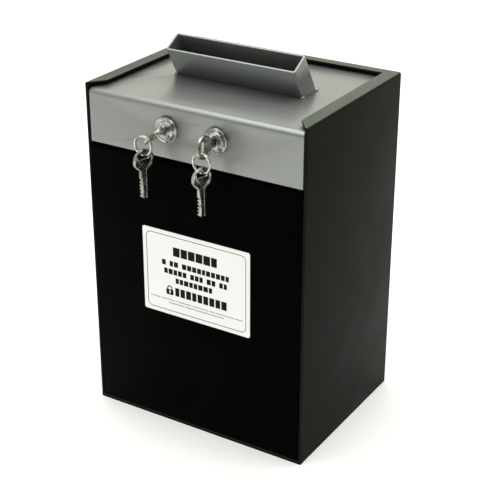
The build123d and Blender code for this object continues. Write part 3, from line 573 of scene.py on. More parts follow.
def rounded_plan(half_x: float, half_y: float, reach: float, radius: float, steps: int) -> list[Point]:
    """A rectangle with round corners, about its middle.

    Args:
        half_x: Half its first size.
        half_y: Half its second size.
        reach: How far each corner's centre lies inside the two edges.
        radius: The corners' radius.
        steps: Flats around each corner.

    Returns:
        The outline's points.
    """
    plan: list[Point] = []
    for sx, sy, start in ((1, 1, 0), (-1, 1, 90), (-1, -1, 180), (1, -1, 270)):
        plan += arc((sx * (half_x - reach), sy * (half_y - reach)), radius, start, start + 90, steps)
    return plan


def settle(piece: bpy.types.Object) -> bpy.types.Object:
    """Apply a piece's modifiers to its mesh.

    Args:
        piece: The object to settle.

    Returns:
        The same object, with a plain mesh.
    """
    bpy.context.view_layer.update()
    graph = bpy.context.evaluated_depsgraph_get()
    mesh = bpy.data.meshes.new_from_object(piece.evaluated_get(graph))
    piece.modifiers.clear()
    piece.data = mesh
    return piece


def combine(piece: bpy.types.Object, other: bpy.types.Object, operation: str) -> bpy.types.Object:
    """Join or cut a piece with another, which is used up.

    Args:
        piece: The piece that stays.
        other: The other solid.
        operation: UNION or DIFFERENCE.

    Returns:
        The changed piece.
    """
    modifier = piece.modifiers.new("combine", "BOOLEAN")
    modifier.operation = operation
    modifier.solver = "EXACT"
    modifier.object = other
    settle(piece)
    bpy.data.objects.remove(other)
    return piece


def bend_edges(piece: bpy.types.Object, radius: float, steps: int,
               wanted: Callable[[Vector, Vector], bool]) -> bpy.types.Object:
    """Round chosen edges, as a folded sheet's bends.

    Args:
        piece: The piece to change.
        radius: The outer radius of the bend.
        steps: Flats around the bend.
        wanted: Says from an edge's two ends whether it is bent.

    Returns:
        The changed piece.
    """
    shape = bmesh.new()
    shape.from_mesh(piece.data)
    chosen = [e for e in shape.edges if wanted(e.verts[0].co, e.verts[1].co)]
    bmesh.ops.bevel(shape, geom=chosen, offset=radius, offset_type="OFFSET", segments=steps, profile=0.5,
                    affect="EDGES", clamp_overlap=True)
    bmesh.ops.recalc_face_normals(shape, faces=shape.faces)
    shape.to_mesh(piece.data)
    shape.free()
    return piece


def ease(piece: bpy.types.Object, width: float, steps: int = 2, angle: float = 32.0) -> bpy.types.Object:
    """Break every sharp edge and shade the piece smoothly between its corners.

    Args:
        piece: The piece to change.
        width: How wide the broken edge is.
        steps: Flats across it.
        angle: Edges sharper than this many degrees are broken.

    Returns:
        The changed piece.
    """
    modifier = piece.modifiers.new("eased", "BEVEL")
    modifier.width = width
    modifier.segments = steps
    modifier.limit_method = "ANGLE"
    modifier.angle_limit = radians(angle)
    modifier.use_clamp_overlap = True
    modifier.miter_outer = "MITER_ARC"
    settle(piece)
    piece.data.shade_smooth()
    piece.data.set_sharp_from_angle(angle=radians(angle))
    return piece


def lathe(name: str, profile: Sequence[Point], centre: Vector, steps: int) -> bpy.types.Object:
    """Turn a closed profile of (radius, depth) about an axis that runs back along +Y.

    Args:
        name: The object's name.
        profile: The profile's corners, in order.
        centre: Where radius and depth are both 0.
        steps: Flats around.

    Returns:
        The turned piece.
    """
    count = len(profile)
    verts = [(centre.x + r * cos(2 * pi * s / steps), centre.y + y, centre.z + r * sin(2 * pi * s / steps))
             for s in range(steps) for r, y in profile]
    faces = []
    for here in range(steps):
        on = (here + 1) % steps
        for i in range(count):
            j = (i + 1) % count
            faces.append([here * count + i, here * count + j, on * count + j, on * count + i])
    return object_from(name, verts, faces)


def frame_copy(node: str, name: str) -> bpy.types.Object:
    """Copy a CAD node's shape into a new object, with its loose triangles joined into flat faces.

    Args:
        node: The CAD node.
        name: The new object's name.

    Returns:
        The copy.
    """
    shape = bmesh.new()
    shape.from_mesh(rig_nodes()[node].data)
    bmesh.ops.remove_doubles(shape, verts=shape.verts, dist=0.001 * MM)
    bmesh.ops.dissolve_limit(shape, angle_limit=radians(0.5), verts=shape.verts, edges=shape.edges)
    shape.verts.index_update()
    verts = [v.co.copy() for v in shape.verts]
    faces = [[v.index for v in f.verts] for f in shape.faces]
    shape.free()
    return object_from(name, verts, faces)


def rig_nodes() -> dict[str, bpy.types.Object]:
    """The CAD nodes by name."""
    return {o["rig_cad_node"]: o for o in bpy.data.objects if "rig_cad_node" in o}


# ---------------------------------------------------------------- geometry node trees
def build_ring_tree() -> bpy.types.NodeTree:
    """Geometry tree: flat wire wound into a split ring about Z, stepping over itself half way.

    Returns:
        The tree.
    """
    tree, start, end = open_group(
        "split_ring_wire", "GeometryNodeTree",
        [("Geometry", "NodeSocketGeometry", None), ("Mean Radius", "NodeSocketFloat", 6.7 * MM),
         ("Wire Height", "NodeSocketFloat", 1.0 * MM), ("Wire Width", "NodeSocketFloat", 1.1 * MM),
         ("Corner", "NodeSocketFloat", 0.3 * MM), ("Step Angle", "NodeSocketFloat", 0.5),
         ("Steps", "NodeSocketInt", 160), ("Material", "NodeSocketMaterial", None)],
        [("Geometry", "NodeSocketGeometry")])
    line = add_node(tree, "GeometryNodeCurvePrimitiveLine")
    count = add_node(tree, "GeometryNodeResampleCurve")
    along = add_node(tree, "GeometryNodeSplineParameter")
    wound = add_node(tree, "ShaderNodeMath", operation="SUBTRACT")
    wound.inputs[0].default_value = 4 * pi
    angle = add_node(tree, "ShaderNodeMath", operation="MULTIPLY_ADD")
    half_step = add_node(tree, "ShaderNodeMath", operation="MULTIPLY")
    half_step.inputs[1].default_value = 0.5
    cosine = add_node(tree, "ShaderNodeMath", operation="COSINE")
    sine = add_node(tree, "ShaderNodeMath", operation="SINE")
    x = add_node(tree, "ShaderNodeMath", operation="MULTIPLY")
    y = add_node(tree, "ShaderNodeMath", operation="MULTIPLY")
    step_from = add_node(tree, "ShaderNodeMath", operation="SUBTRACT")
    step_from.inputs[0].default_value = 2 * pi
    step_to = add_node(tree, "ShaderNodeMath", operation="ADD")
    step_to.inputs[0].default_value = 2 * pi
    low = add_node(tree, "ShaderNodeMath", operation="MULTIPLY")
    low.inputs[1].default_value = -0.5
    high = add_node(tree, "ShaderNodeMath", operation="MULTIPLY")
    high.inputs[1].default_value = 0.5
    rise = add_node(tree, "ShaderNodeMapRange", interpolation_type="SMOOTHSTEP")
    spot = add_node(tree, "ShaderNodeCombineXYZ")
    move = add_node(tree, "GeometryNodeSetPosition")
    upright = add_node(tree, "GeometryNodeSetCurveNormal", mode="Z_UP")
    section = add_node(tree, "GeometryNodeCurvePrimitiveQuadrilateral")
    rounded = add_node(tree, "GeometryNodeFilletCurve", mode="POLY")
    rounded.inputs["Count"].default_value = 3
    swept = add_node(tree, "GeometryNodeCurveToMesh")
    swept.inputs["Fill Caps"].default_value = True
    real = add_node(tree, "GeometryNodeRealizeInstances")
    dressed = add_node(tree, "GeometryNodeSetMaterial")
    wire(tree, (
        (line, "Curve", count, "Curve"), (start, "Steps", count, "Count"),
        (start, "Step Angle", wound, 1), (start, "Step Angle", half_step, 0),
        (along, "Factor", angle, 0), (wound, 0, angle, 1), (half_step, 0, angle, 2),
        (angle, 0, cosine, 0), (angle, 0, sine, 0), (cosine, 0, x, 0), (sine, 0, y, 0),
        (start, "Mean Radius", x, 1), (start, "Mean Radius", y, 1), (half_step, 0, step_from, 1),
        (half_step, 0, step_to, 1), (start, "Wire Height", low, 0), (start, "Wire Height", high, 0),
        (angle, 0, rise, "Value"), (step_from, 0, rise, "From Min"), (step_to, 0, rise, "From Max"),
        (low, 0, rise, "To Min"), (high, 0, rise, "To Max"), (x, 0, spot, "X"), (y, 0, spot, "Y"),
        (rise, "Result", spot, "Z"), (count, "Curve", move, "Geometry"),
        (spot, "Vector", move, "Position"), (move, "Geometry", upright, "Curve"),
        (start, "Wire Width", section, "Width"), (start, "Wire Height", section, "Height"),
        (section, "Curve", rounded, "Curve"), (start, "Corner", rounded, "Radius"),
        (upright, "Curve", swept, "Curve"), (rounded, "Curve", swept, "Profile Curve"),
        (swept, "Mesh", real, "Geometry"), (real, "Geometry", dressed, "Geometry"),
        (start, "Material", dressed, "Material"), (dressed, "Geometry", end, "Geometry")))
    return tree


def build_row_tree() -> bpy.types.NodeTree:
    """Geometry tree: a centred row of printed blocks of uneven width along X, with gaps between its words.

    Returns:
        The tree.
    """
    tree, start, end = open_group(
        "printed_row", "GeometryNodeTree",
        [("Geometry", "NodeSocketGeometry", None), ("Blocks", "NodeSocketInt", 12),
         ("Narrowest", "NodeSocketFloat", 1.4 * MM), ("Widest", "NodeSocketFloat", 2.4 * MM),
         ("Block Height", "NodeSocketFloat", 3.0 * MM), ("Block Gap", "NodeSocketFloat", 0.5 * MM),
         ("Word Gap", "NodeSocketFloat", 1.8 * MM), ("Word Share", "NodeSocketFloat", 0.2),
         ("Ink Depth", "NodeSocketFloat", 0.04 * MM), ("Seed", "NodeSocketInt", 1),
         ("Material", "NodeSocketMaterial", None)],
        [("Geometry", "NodeSocketGeometry")])
    points = add_node(tree, "GeometryNodeMeshLine", mode="OFFSET")
    points.inputs["Offset"].default_value = (0.0, 0.0, 0.0)
    width = add_node(tree, "FunctionNodeRandomValue", data_type="FLOAT")
    space = add_node(tree, "FunctionNodeRandomValue", data_type="BOOLEAN")
    gap = add_node(tree, "ShaderNodeMath", operation="MULTIPLY_ADD")
    advance = add_node(tree, "ShaderNodeMath", operation="ADD")
    placed = add_node(tree, "GeometryNodeAccumulateField", data_type="FLOAT")
    half = add_node(tree, "ShaderNodeMath", operation="MULTIPLY_ADD")
    half.inputs[1].default_value = 0.5
    middle = add_node(tree, "ShaderNodeMath", operation="MULTIPLY")
    middle.inputs[1].default_value = -0.5
    centred = add_node(tree, "ShaderNodeMath", operation="ADD")
    spot = add_node(tree, "ShaderNodeCombineXYZ")
    move = add_node(tree, "GeometryNodeSetPosition")
    tile = add_node(tree, "GeometryNodeMeshCube")
    size = add_node(tree, "ShaderNodeCombineXYZ")
    copies = add_node(tree, "GeometryNodeInstanceOnPoints")
    real = add_node(tree, "GeometryNodeRealizeInstances")
    dressed = add_node(tree, "GeometryNodeSetMaterial")
    wire(tree, (
        (start, "Blocks", points, "Count"), (start, "Narrowest", width, 2), (start, "Widest", width, 3),
        (start, "Seed", width, "Seed"), (start, "Seed", space, "Seed"),
        (start, "Word Share", space, "Probability"), (space, 3, gap, 0), (start, "Word Gap", gap, 1),
        (start, "Block Gap", gap, 2), (width, 1, advance, 0), (gap, 0, advance, 1),
        (advance, 0, placed, "Value"), (width, 1, half, 0), (placed, "Trailing", half, 2),
        (placed, "Total", middle, 0), (half, 0, centred, 0), (middle, 0, centred, 1),
        (centred, 0, spot, "X"), (points, "Mesh", move, "Geometry"), (spot, "Vector", move, "Position"),
        (move, "Geometry", copies, "Points"), (tile, "Mesh", copies, "Instance"), (width, 1, size, "X"),
        (start, "Ink Depth", size, "Y"), (start, "Block Height", size, "Z"),
        (size, "Vector", copies, "Scale"), (copies, "Instances", real, "Geometry"),
        (real, "Geometry", dressed, "Geometry"), (start, "Material", dressed, "Material"),
        (dressed, "Geometry", end, "Geometry")))
    return tree


def build_bead_tree() -> bpy.types.NodeTree:
    """Geometry tree: one small uneven weld bead on each point of the mesh it is put on.

    Returns:
        The tree.
    """
    tree, start, end = open_group(
        "weld_beads", "GeometryNodeTree",
        [("Geometry", "NodeSocketGeometry", None), ("Bead Radius", "NodeSocketFloat", 1.5 * MM),
         ("Unevenness", "NodeSocketFloat", 0.35 * MM), ("Seed", "NodeSocketInt", 4),
         ("Material", "NodeSocketMaterial", None)],
        [("Geometry", "NodeSocketGeometry")])
    ball = add_node(tree, "GeometryNodeMeshIcoSphere")
    ball.inputs["Subdivisions"].default_value = 4
    turn = add_node(tree, "FunctionNodeRandomValue", data_type="FLOAT_VECTOR")
    turn.inputs[1].default_value = (2 * pi, 2 * pi, 2 * pi)
    copies = add_node(tree, "GeometryNodeInstanceOnPoints")
    real = add_node(tree, "GeometryNodeRealizeInstances")
    lumps = add_node(tree, "ShaderNodeTexNoise", Scale=900.0, Detail=2.0)
    centre = add_node(tree, "ShaderNodeMath", operation="SUBTRACT")
    centre.inputs[1].default_value = 0.6
    push = add_node(tree, "ShaderNodeMath", operation="MULTIPLY")
    normal = add_node(tree, "GeometryNodeInputNormal")
    away = add_node(tree, "ShaderNodeVectorMath", operation="SCALE")
    shift = add_node(tree, "GeometryNodeSetPosition")
    smooth = add_node(tree, "GeometryNodeSetShadeSmooth")
    dressed = add_node(tree, "GeometryNodeSetMaterial")
    wire(tree, (
        (start, "Geometry", copies, "Points"), (start, "Bead Radius", ball, "Radius"),
        (ball, "Mesh", copies, "Instance"), (start, "Seed", turn, "Seed"), (turn, 0, copies, "Rotation"),
        (copies, "Instances", real, "Geometry"), (real, "Geometry", shift, "Geometry"),
        (lumps, "Fac", centre, 0), (centre, 0, push, 0), (start, "Unevenness", push, 1),
        (normal, "Normal", away, "Vector"), (push, 0, away, "Scale"), (away, "Vector", shift, "Offset"),
        (shift, "Geometry", smooth, "Geometry"), (smooth, "Geometry", dressed, "Geometry"),
        (start, "Material", dressed, "Material"), (dressed, "Geometry", end, "Geometry")))
    return tree


def grow(tree: bpy.types.NodeTree, name: str, values: dict[str, object],
         points: Sequence[Sequence[float]] = ((0.0, 0.0, 0.0),)) -> bpy.types.Object:
    """Run a geometry tree and keep its result as a plain mesh.

    Args:
        tree: The geometry tree.
        name: The new object's name.
        values: The tree's inputs by name.
        points: Points of the mesh that the tree starts from.

    Returns:
        The new object.
    """
    seed = bpy.data.meshes.new(name)
    seed.from_pydata([tuple(p) for p in points], [], [])
    made = bpy.data.objects.new(name, seed)
    bpy.context.scene.collection.objects.link(made)
    modifier = made.modifiers.new("grown", "NODES")
    modifier.node_group = tree
    for socket in tree.interface.items_tree:
        if socket.in_out == "INPUT" and socket.name in values:
            modifier[socket.identifier] = values[socket.name]
    return settle(made)


# ---------------------------------------------------------------- the shop
@dataclass
class Shop:
    """Finishes and trees shared by every sub-assembly, and the list of pieces made."""

    materials: dict[Finish, bpy.types.Material] = field(default_factory=dict)
    inks: dict[str, bpy.types.Material] = field(default_factory=dict)
    trees: dict[str, bpy.types.NodeTree] = field(default_factory=dict)
    made: list[str] = field(default_factory=list)

    def open(self) -> None:
        """Build the shader groups, the finishes and the geometry trees."""
        groups = {"grain": build_grain_group(), "tone": build_tone_group(),
                  "dust_and_sheen": build_dust_and_sheen_group(), "scratches": build_scratch_group()}
        self.materials = {key: finish.build(groups) for key, finish in FINISHES.items()}
        self.inks = {"ink": INK.build(groups), "faint": FAINT_INK.build(groups)}
        self.trees = {"ring": build_ring_tree(), "row": build_row_tree(), "beads": build_bead_tree()}

    def deliver(self, piece: bpy.types.Object, body: str, finish: Finish, *nodes: str,
                material: bpy.types.Material | None = None) -> bpy.types.Object:
        """Dress a piece and hang it on its body.

        Args:
            piece: The finished piece.
            body: The CAD body that it rides on.
            finish: Its material slot.
            nodes: The CAD nodes that it stands for.
            material: A material other than the slot's own, such as ink.

        Returns:
            The piece.
        """
        piece.data.materials.clear()
        piece.data.materials.append(material or self.materials[finish])
        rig.ride(piece, body)
        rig.slot(piece, finish.value)
        if nodes:
            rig.replaces(piece, *nodes)
        self.made.append(piece.name)
        LOG.info("%s rides on %s, %d faces", piece.name, body, len(piece.data.polygons))
        return piece

    def dress_nodes(self, slots: dict[str, str]) -> None:
        """Give every CAD node its slot's finish.

        Args:
            slots: The material slot of each node.
        """
        for name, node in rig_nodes().items():
            for place in node.material_slots:
                place.material = self.materials[Finish(slots[name])]


# ---------------------------------------------------------------- sub-assemblies
@dataclass
class Housing:
    """The outer housing: one folded sheet with lips turned in over the lid."""

    shop: Shop
    sheet: float = 2.0 * MM
    side_lip: float = 11.0 * MM
    back_lip: float = 9.0 * MM
    setback: float = 11.5 * MM
    bend: float = 1.7 * MM
    bend_steps: int = 8
    edge: float = 0.35 * MM

    def build(self) -> None:
        """Make the folded sheet and round its bends."""
        low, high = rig.box("housing_shell")
        under = high.z - self.sheet
        wall, back = high.x - self.sheet, high.y - self.sheet
        outer = [(low.x, low.y), (low.x, high.y), (high.x, high.y), (high.x, low.y)]
        inner = [(-wall, low.y), (-wall, back), (wall, back), (wall, low.y)]
        lip_x = high.x - self.side_lip
        lip_front, lip_back = low.y + self.setback, high.y - self.back_lip
        lip = [(-lip_x, lip_front), (-lip_x, lip_back), (lip_x, lip_back), (lip_x, lip_front)]
        verts: list[tuple[float, float, float]] = []

        def ring(points: Iterable[Point], level: float) -> list[int]:
            """Add four vertices at one level and return their numbers."""
            first = len(verts)
            verts.extend((x, y, level) for x, y in points)
            return [first, first + 1, first + 2, first + 3]

        outer_low, outer_top = ring(outer, 0.0), ring(outer, high.z)
        inner_low, inner_under, inner_top = ring(inner, 0.0), ring(inner, under), ring(inner, high.z)
        lip_under, lip_top = ring(lip, under), ring(lip, high.z)
        faces = [outer_low + inner_low[::-1],
                 [outer_top[0], inner_top[0], *lip_top, inner_top[3], *outer_top[:0:-1]],
                 [*inner_under, *lip_under[::-1]],
                 [outer_low[0], inner_low[0], inner_under[0], inner_top[0], outer_top[0]],
                 [outer_low[3], inner_low[3], inner_under[3], inner_top[3], outer_top[3]],
                 [inner_under[0], lip_under[0], lip_top[0], inner_top[0]],
                 [inner_under[3], lip_under[3], lip_top[3], inner_top[3]]]
        for i in range(3):
            for below, above in ((outer_low, outer_top), (inner_low, inner_under), (lip_under, lip_top)):
                faces.append([below[i], below[i + 1], above[i + 1], above[i]])
        shell = object_from("folded_housing", verts, faces)

        def bent(a: Vector, b: Vector) -> bool:
            """Whether an edge is a bend: the top outer edges and the two back corners."""
            ends = (a, b)
            on_top = all(abs(v.z - high.z) < NEAR for v in ends)
            sides = all(abs(abs(v.x) - high.x) < NEAR for v in ends) and a.x * b.x > 0
            rear = all(abs(v.y - high.y) < NEAR for v in ends)
            return (on_top and (sides or rear)) or (sides and rear)

        bend_edges(shell, self.bend, self.bend_steps, bent)
        ease(shell, self.edge)
        self.shop.deliver(shell, "housing", Finish.POWDER, "housing_shell")


@dataclass
class InnerBox:
    """The removable box: its front panel and the printed notice."""

    shop: Shop
    sheet: float = 1.5 * MM
    bend: float = 3.0 * MM
    return_depth: float = 13.5 * MM
    catch: float = 9.0 * MM
    end_cut: float = 5.1 * MM
    edge: float = 0.3 * MM
    steps: int = 10

    def build(self) -> None:
        """Make the front panel and the notice's print."""
        self.build_front()
        Notice(self.shop).build()

    def build_front(self) -> None:
        """Make the front panel: flat face, round top bend, rearward flange and its down-turned edge."""
        low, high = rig.box("box_front")
        front, top = low.y, high.z
        inner, inner_bend = front + self.sheet, self.bend - self.sheet
        centre = (front + self.bend, top - self.bend)
        end = front + self.return_depth
        outline = [(front, low.z), *arc(centre, self.bend, 180, 90, self.steps),
                   (end, top), (end, top - self.catch),
                   (end - self.sheet, top - self.catch), (end - self.sheet, top - self.sheet),
                   *arc(centre, inner_bend, 90, 180, self.steps), (inner, low.z)]
        panel = prism("front_panel", outline, low.x, high.x, from_the_side)
        for side in (-1, 1):
            near, far = sorted((side * (high.x - self.end_cut), side * (high.x + SPARE)))
            cutter = block("cutter", (near, inner + inner_bend, top - self.catch - SPARE),
                           (far, end + SPARE, top + SPARE))
            combine(panel, cutter, "DIFFERENCE")
        ease(panel, self.edge)
        self.shop.deliver(panel, "inner_box", Finish.GLOSS, "box_front")


@dataclass(frozen=True)
class PrintedRow:
    """One row of blocks on the notice, in millimetres, with its drop below the notice's top."""

    name: str
    drop: float
    blocks: int
    narrowest: float
    widest: float
    height: float
    gap: float
    seed: int
    word_gap: float = 0.0
    word_share: float = 0.0
    shift: float = 0.0
    ink: str = "ink"


PRINTED_ROWS = (
    PrintedRow("heading_row", 14.6, 6, 4.4, 5.9, 7.0, 0.8, 3),
    PrintedRow("upper_row", 24.6, 13, 2.4, 3.8, 4.1, 0.75, 11, word_gap=2.6, word_share=0.14),
    PrintedRow("middle_row", 31.0, 12, 2.4, 3.6, 4.1, 0.75, 5, word_gap=2.6, word_share=0.2),
    PrintedRow("lower_row", 37.4, 8, 2.4, 3.8, 4.1, 0.75, 8, word_gap=2.6, word_share=0.15),
    PrintedRow("name_row", 46.4, 9, 3.2, 4.6, 6.6, 1.0, 2, shift=4.6),
    PrintedRow("first_fine_row", 54.0, 46, 0.9, 1.7, 0.75, 0.25, 6, word_gap=0.8, word_share=0.2,
               ink="faint"),
    PrintedRow("last_fine_row", 56.4, 30, 0.9, 1.7, 0.75, 0.25, 9, word_gap=0.8, word_share=0.2,
               ink="faint"),
)


@dataclass
class Notice:
    """The printed white notice: a thin rounded border and rows of blocks in place of words."""

    shop: Shop
    border_inset: float = 3.0 * MM
    border_width: float = 0.45 * MM
    border_corner: float = 4.0 * MM
    corner_steps: int = 8
    sign_left: float = 22.5 * MM
    sign_drop: float = 46.4 * MM
    ink: float = 0.04 * MM

    def build(self) -> None:
        """Make the border, the rows and the padlock sign as thin raised ink."""
        low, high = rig.box("notice_plate")
        face = low.y - self.ink / 2
        centre = Vector(((low.x + high.x) / 2, face, (low.z + high.z) / 2))
        half = (high - low) / 2
        self.border(centre, half.x - self.border_inset, half.z - self.border_inset)
        for row in PRINTED_ROWS:
            self.print_row(row, Vector((centre.x, face, high.z)))
        self.padlock(Vector((centre.x - self.sign_left, face, high.z - self.sign_drop)))

    def print_row(self, row: PrintedRow, top: Vector) -> None:
        """Print one row of blocks.

        Args:
            row: The row's sizes.
            top: The middle of the notice's top edge, at the ink's face.
        """
        ink = self.shop.inks[row.ink]
        printed = grow(self.shop.trees["row"], row.name, {
            "Blocks": row.blocks, "Narrowest": row.narrowest * MM, "Widest": row.widest * MM,
            "Block Height": row.height * MM, "Block Gap": row.gap * MM, "Word Gap": row.word_gap * MM,
            "Word Share": row.word_share, "Ink Depth": self.ink, "Seed": row.seed, "Material": ink})
        printed.data.transform(Matrix.Translation(top + Vector((row.shift * MM, 0, -row.drop * MM))))
        self.shop.deliver(printed, "inner_box", Finish.VINYL, material=ink)

    def border(self, centre: Vector, half_width: float, half_height: float) -> None:
        """Make the thin rounded border line.

        Args:
            centre: The border's middle, at the ink's face.
            half_width: Half its width.
            half_height: Half its height.
        """
        reach = self.border_corner
        outlines = [rounded_plan(half_width, half_height, reach, reach - inset, self.corner_steps)
                    for inset in (0.0, self.border_width)]
        loops = [[centre + Vector((a, depth, b)) for a, b in outline]
                 for depth in (-self.ink / 2, self.ink / 2) for outline in outlines]
        self.shop.deliver(hollow("notice_border", loops), "inner_box", Finish.VINYL,
                          material=self.shop.inks["ink"])

    def padlock(self, centre: Vector) -> None:
        """Make the generic padlock sign: a rounded body with a keyhole left bare, and a shackle.

        Args:
            centre: The sign's middle, at the ink's face.
        """
        def flat(name: str, outline: Sequence[Point], half: float) -> bpy.types.Object:
            """Make a flat shape from an outline in millimetres about the sign's middle."""
            return prism(name, outline, -half, half, lambda a, b, c: centre + Vector((a * MM, c, b * MM)))

        corners = ((2.4, 0.2, 0), (-2.4, 0.2, 90), (-2.4, -2.7, 180), (2.4, -2.7, 270))
        outline = [p for x, z, a in corners for p in arc((x, z), 0.7, a, a + 90, 4)]
        body = flat("padlock_sign", outline, self.ink / 2)
        keyhole = arc((0, -0.6), 0.75, 0, 345, 23)
        keyway = [(-0.35, -0.8), (0.35, -0.8), (0.55, -2.4), (-0.55, -2.4)]
        for hole in (keyhole, keyway):
            combine(body, flat("cutter", hole, 3 * self.ink), "DIFFERENCE")
        shackle = [(2.3, 0.5), *arc((0, 1.6), 2.3, 0, 180, 16), (-2.3, 0.5), (-1.4, 0.5),
                   *arc((0, 1.6), 1.4, 180, 0, 16), (1.4, 0.5)]
        combine(body, flat("shackle", shackle, self.ink / 2), "UNION")
        self.shop.deliver(body, "inner_box", Finish.VINYL, material=self.shop.inks["ink"])


@dataclass
class Lid:
    """The silver lid with its apron, and the deposit chute welded on it."""

    shop: Shop
    sheet: float = 1.5 * MM
    bend: float = 4.0 * MM
    hem: float = 5.0 * MM
    end_return: float = 9.0 * MM
    end_round: float = 1.2 * MM
    end_round_steps: int = 5
    hair: float = 0.01 * MM
    edge: float = 0.25 * MM
    steps: int = 12
    bezel_ledge: float = 1.3 * MM
    chute_wall: float = 1.5 * MM
    chute_depth: float = 17.0 * MM
    chute_corner: float = 1.8 * MM
    chute_inner_corner: float = 0.6 * MM
    chute_corner_steps: int = 6
    chute_edge: float = 0.35 * MM
    chute_reach: float = 29.5 * MM
    chute_tilt: float = 30.0
    bead: float = 1.6 * MM
    bead_unevenness: float = 0.5 * MM
    bead_inset: float = 0.6 * MM
    bead_tuck: float = 0.2 * MM
    bead_rise: float = 0.25 * MM

    def build(self) -> None:
        """Make the cover, the chute and its weld beads."""
        self.build_cover()
        self.build_chute()

    def build_cover(self) -> None:
        """Make the folded cover: top, round front bend, apron, hem and folded-back ends."""
        low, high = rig.box("lid_cover")
        front, top, inner = low.y, high.z, low.y + self.sheet
        centre = (front + self.bend, top - self.bend)
        under, hem_top = top - self.sheet, low.z + self.sheet
        outline = [(front, low.z), *arc(centre, self.bend, 180, 90, self.steps),
                   (high.y, top), (high.y, under),
                   *arc(centre, self.bend - self.sheet, 90, 180, self.steps),
                   (inner, hem_top), (inner + self.hem, hem_top), (inner + self.hem, low.z)]
        cover = prism("lid_sheet", outline, low.x, high.x, from_the_side)
        for side in (-1, 1):
            near, far = sorted((side * (high.x - self.sheet), side * high.x))
            far -= self.hair * (side > 0)
            cheek = block("cheek", (near, front + self.sheet / 2, low.z + self.hair),
                          (far, inner + self.end_return, under - self.bend + self.sheet))
            combine(cover, cheek, "UNION")
        _, chute_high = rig.box("deposit_chute")
        half_slot = self.chute_depth / cos(radians(self.chute_tilt)) / 2 - self.chute_wall
        slot_x = chute_high.x - self.chute_wall
        slot = block("cutter", (-slot_x, -half_slot, under - SPARE), (slot_x, half_slot, top + SPARE))
        combine(cover, slot, "DIFFERENCE")
        for name in ("left", "right"):
            body_low, body_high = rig.box(f"{name}_lock_body")
            hub = (body_low + body_high) / 2
            barrel = (body_high.x - body_low.x) / 2 - self.bezel_ledge
            hole = arc((hub.x, hub.z), barrel, 0, 354, 59)
            combine(cover, prism("cutter", hole, front - SPARE, inner + SPARE, from_the_front), "DIFFERENCE")

        def outside(v: Vector) -> bool:
            """Whether a vertex is on the apron's face or on the outer skin of its bend."""
            on_face = v.y < front + NEAR
            out_of_bend = (Vector((v.y, v.z)) - Vector(centre)).length > self.bend - self.hair
            return on_face or (v.z > top - self.bend and out_of_bend and v.y < centre[0] + NEAR)

        def apron_end(a: Vector, b: Vector) -> bool:
            """Whether an edge is one of the apron's outer end edges."""
            same_end = all(abs(abs(v.x) - high.x) < 2 * self.hair for v in (a, b)) and a.x * b.x > 0
            return same_end and all(outside(v) for v in (a, b))

        bend_edges(cover, self.end_round, self.end_round_steps, apron_end)
        ease(cover, self.edge)
        self.shop.deliver(cover, "lid", Finish.SILVER, "lid_cover")

    def build_chute(self) -> None:
        """Make the leaning tube, cut level where it stands on the lid, and its four weld beads."""
        low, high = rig.box("deposit_chute")
        lean = radians(self.chute_tilt)
        along, across = Vector((0, -sin(lean), cos(lean))), Vector((0, cos(lean), sin(lean)))
        base = Vector((0, 0, low.z))
        loops: list[list[Vector]] = []
        for inset, corner in ((0.0, self.chute_corner), (self.chute_wall, self.chute_inner_corner)):
            half_x, half_y = high.x - inset, self.chute_depth / 2 - inset
            plan = rounded_plan(half_x, half_y, corner, corner, self.chute_corner_steps)
            foot = [(x, y, -y * tan(lean)) for x, y in plan]
            rim = [(x, y, self.chute_reach) for x, y in plan]
            for level in (foot, rim):
                loops.append([base + Vector((x, 0, 0)) + across * y + along * reach for x, y, reach in level])
        tube = hollow("chute_tube", loops)
        ease(tube, self.chute_edge, steps=3)
        self.shop.deliver(tube, "lid", Finish.SILVER, "deposit_chute")
        spot_x = high.x - self.bead_inset
        spot_y = self.chute_depth / cos(lean) / 2 - self.bead_tuck
        spots = [(sx * spot_x, sy * spot_y, low.z + self.bead_rise) for sx in (-1, 1) for sy in (-1, 1)]
        beads = grow(self.shop.trees["beads"], "chute_weld_beads",
                     {"Bead Radius": self.bead, "Unevenness": self.bead_unevenness, "Seed": 4,
                      "Material": self.shop.materials[Finish.SILVER]}, spots)
        self.shop.deliver(beads, "lid", Finish.SILVER)


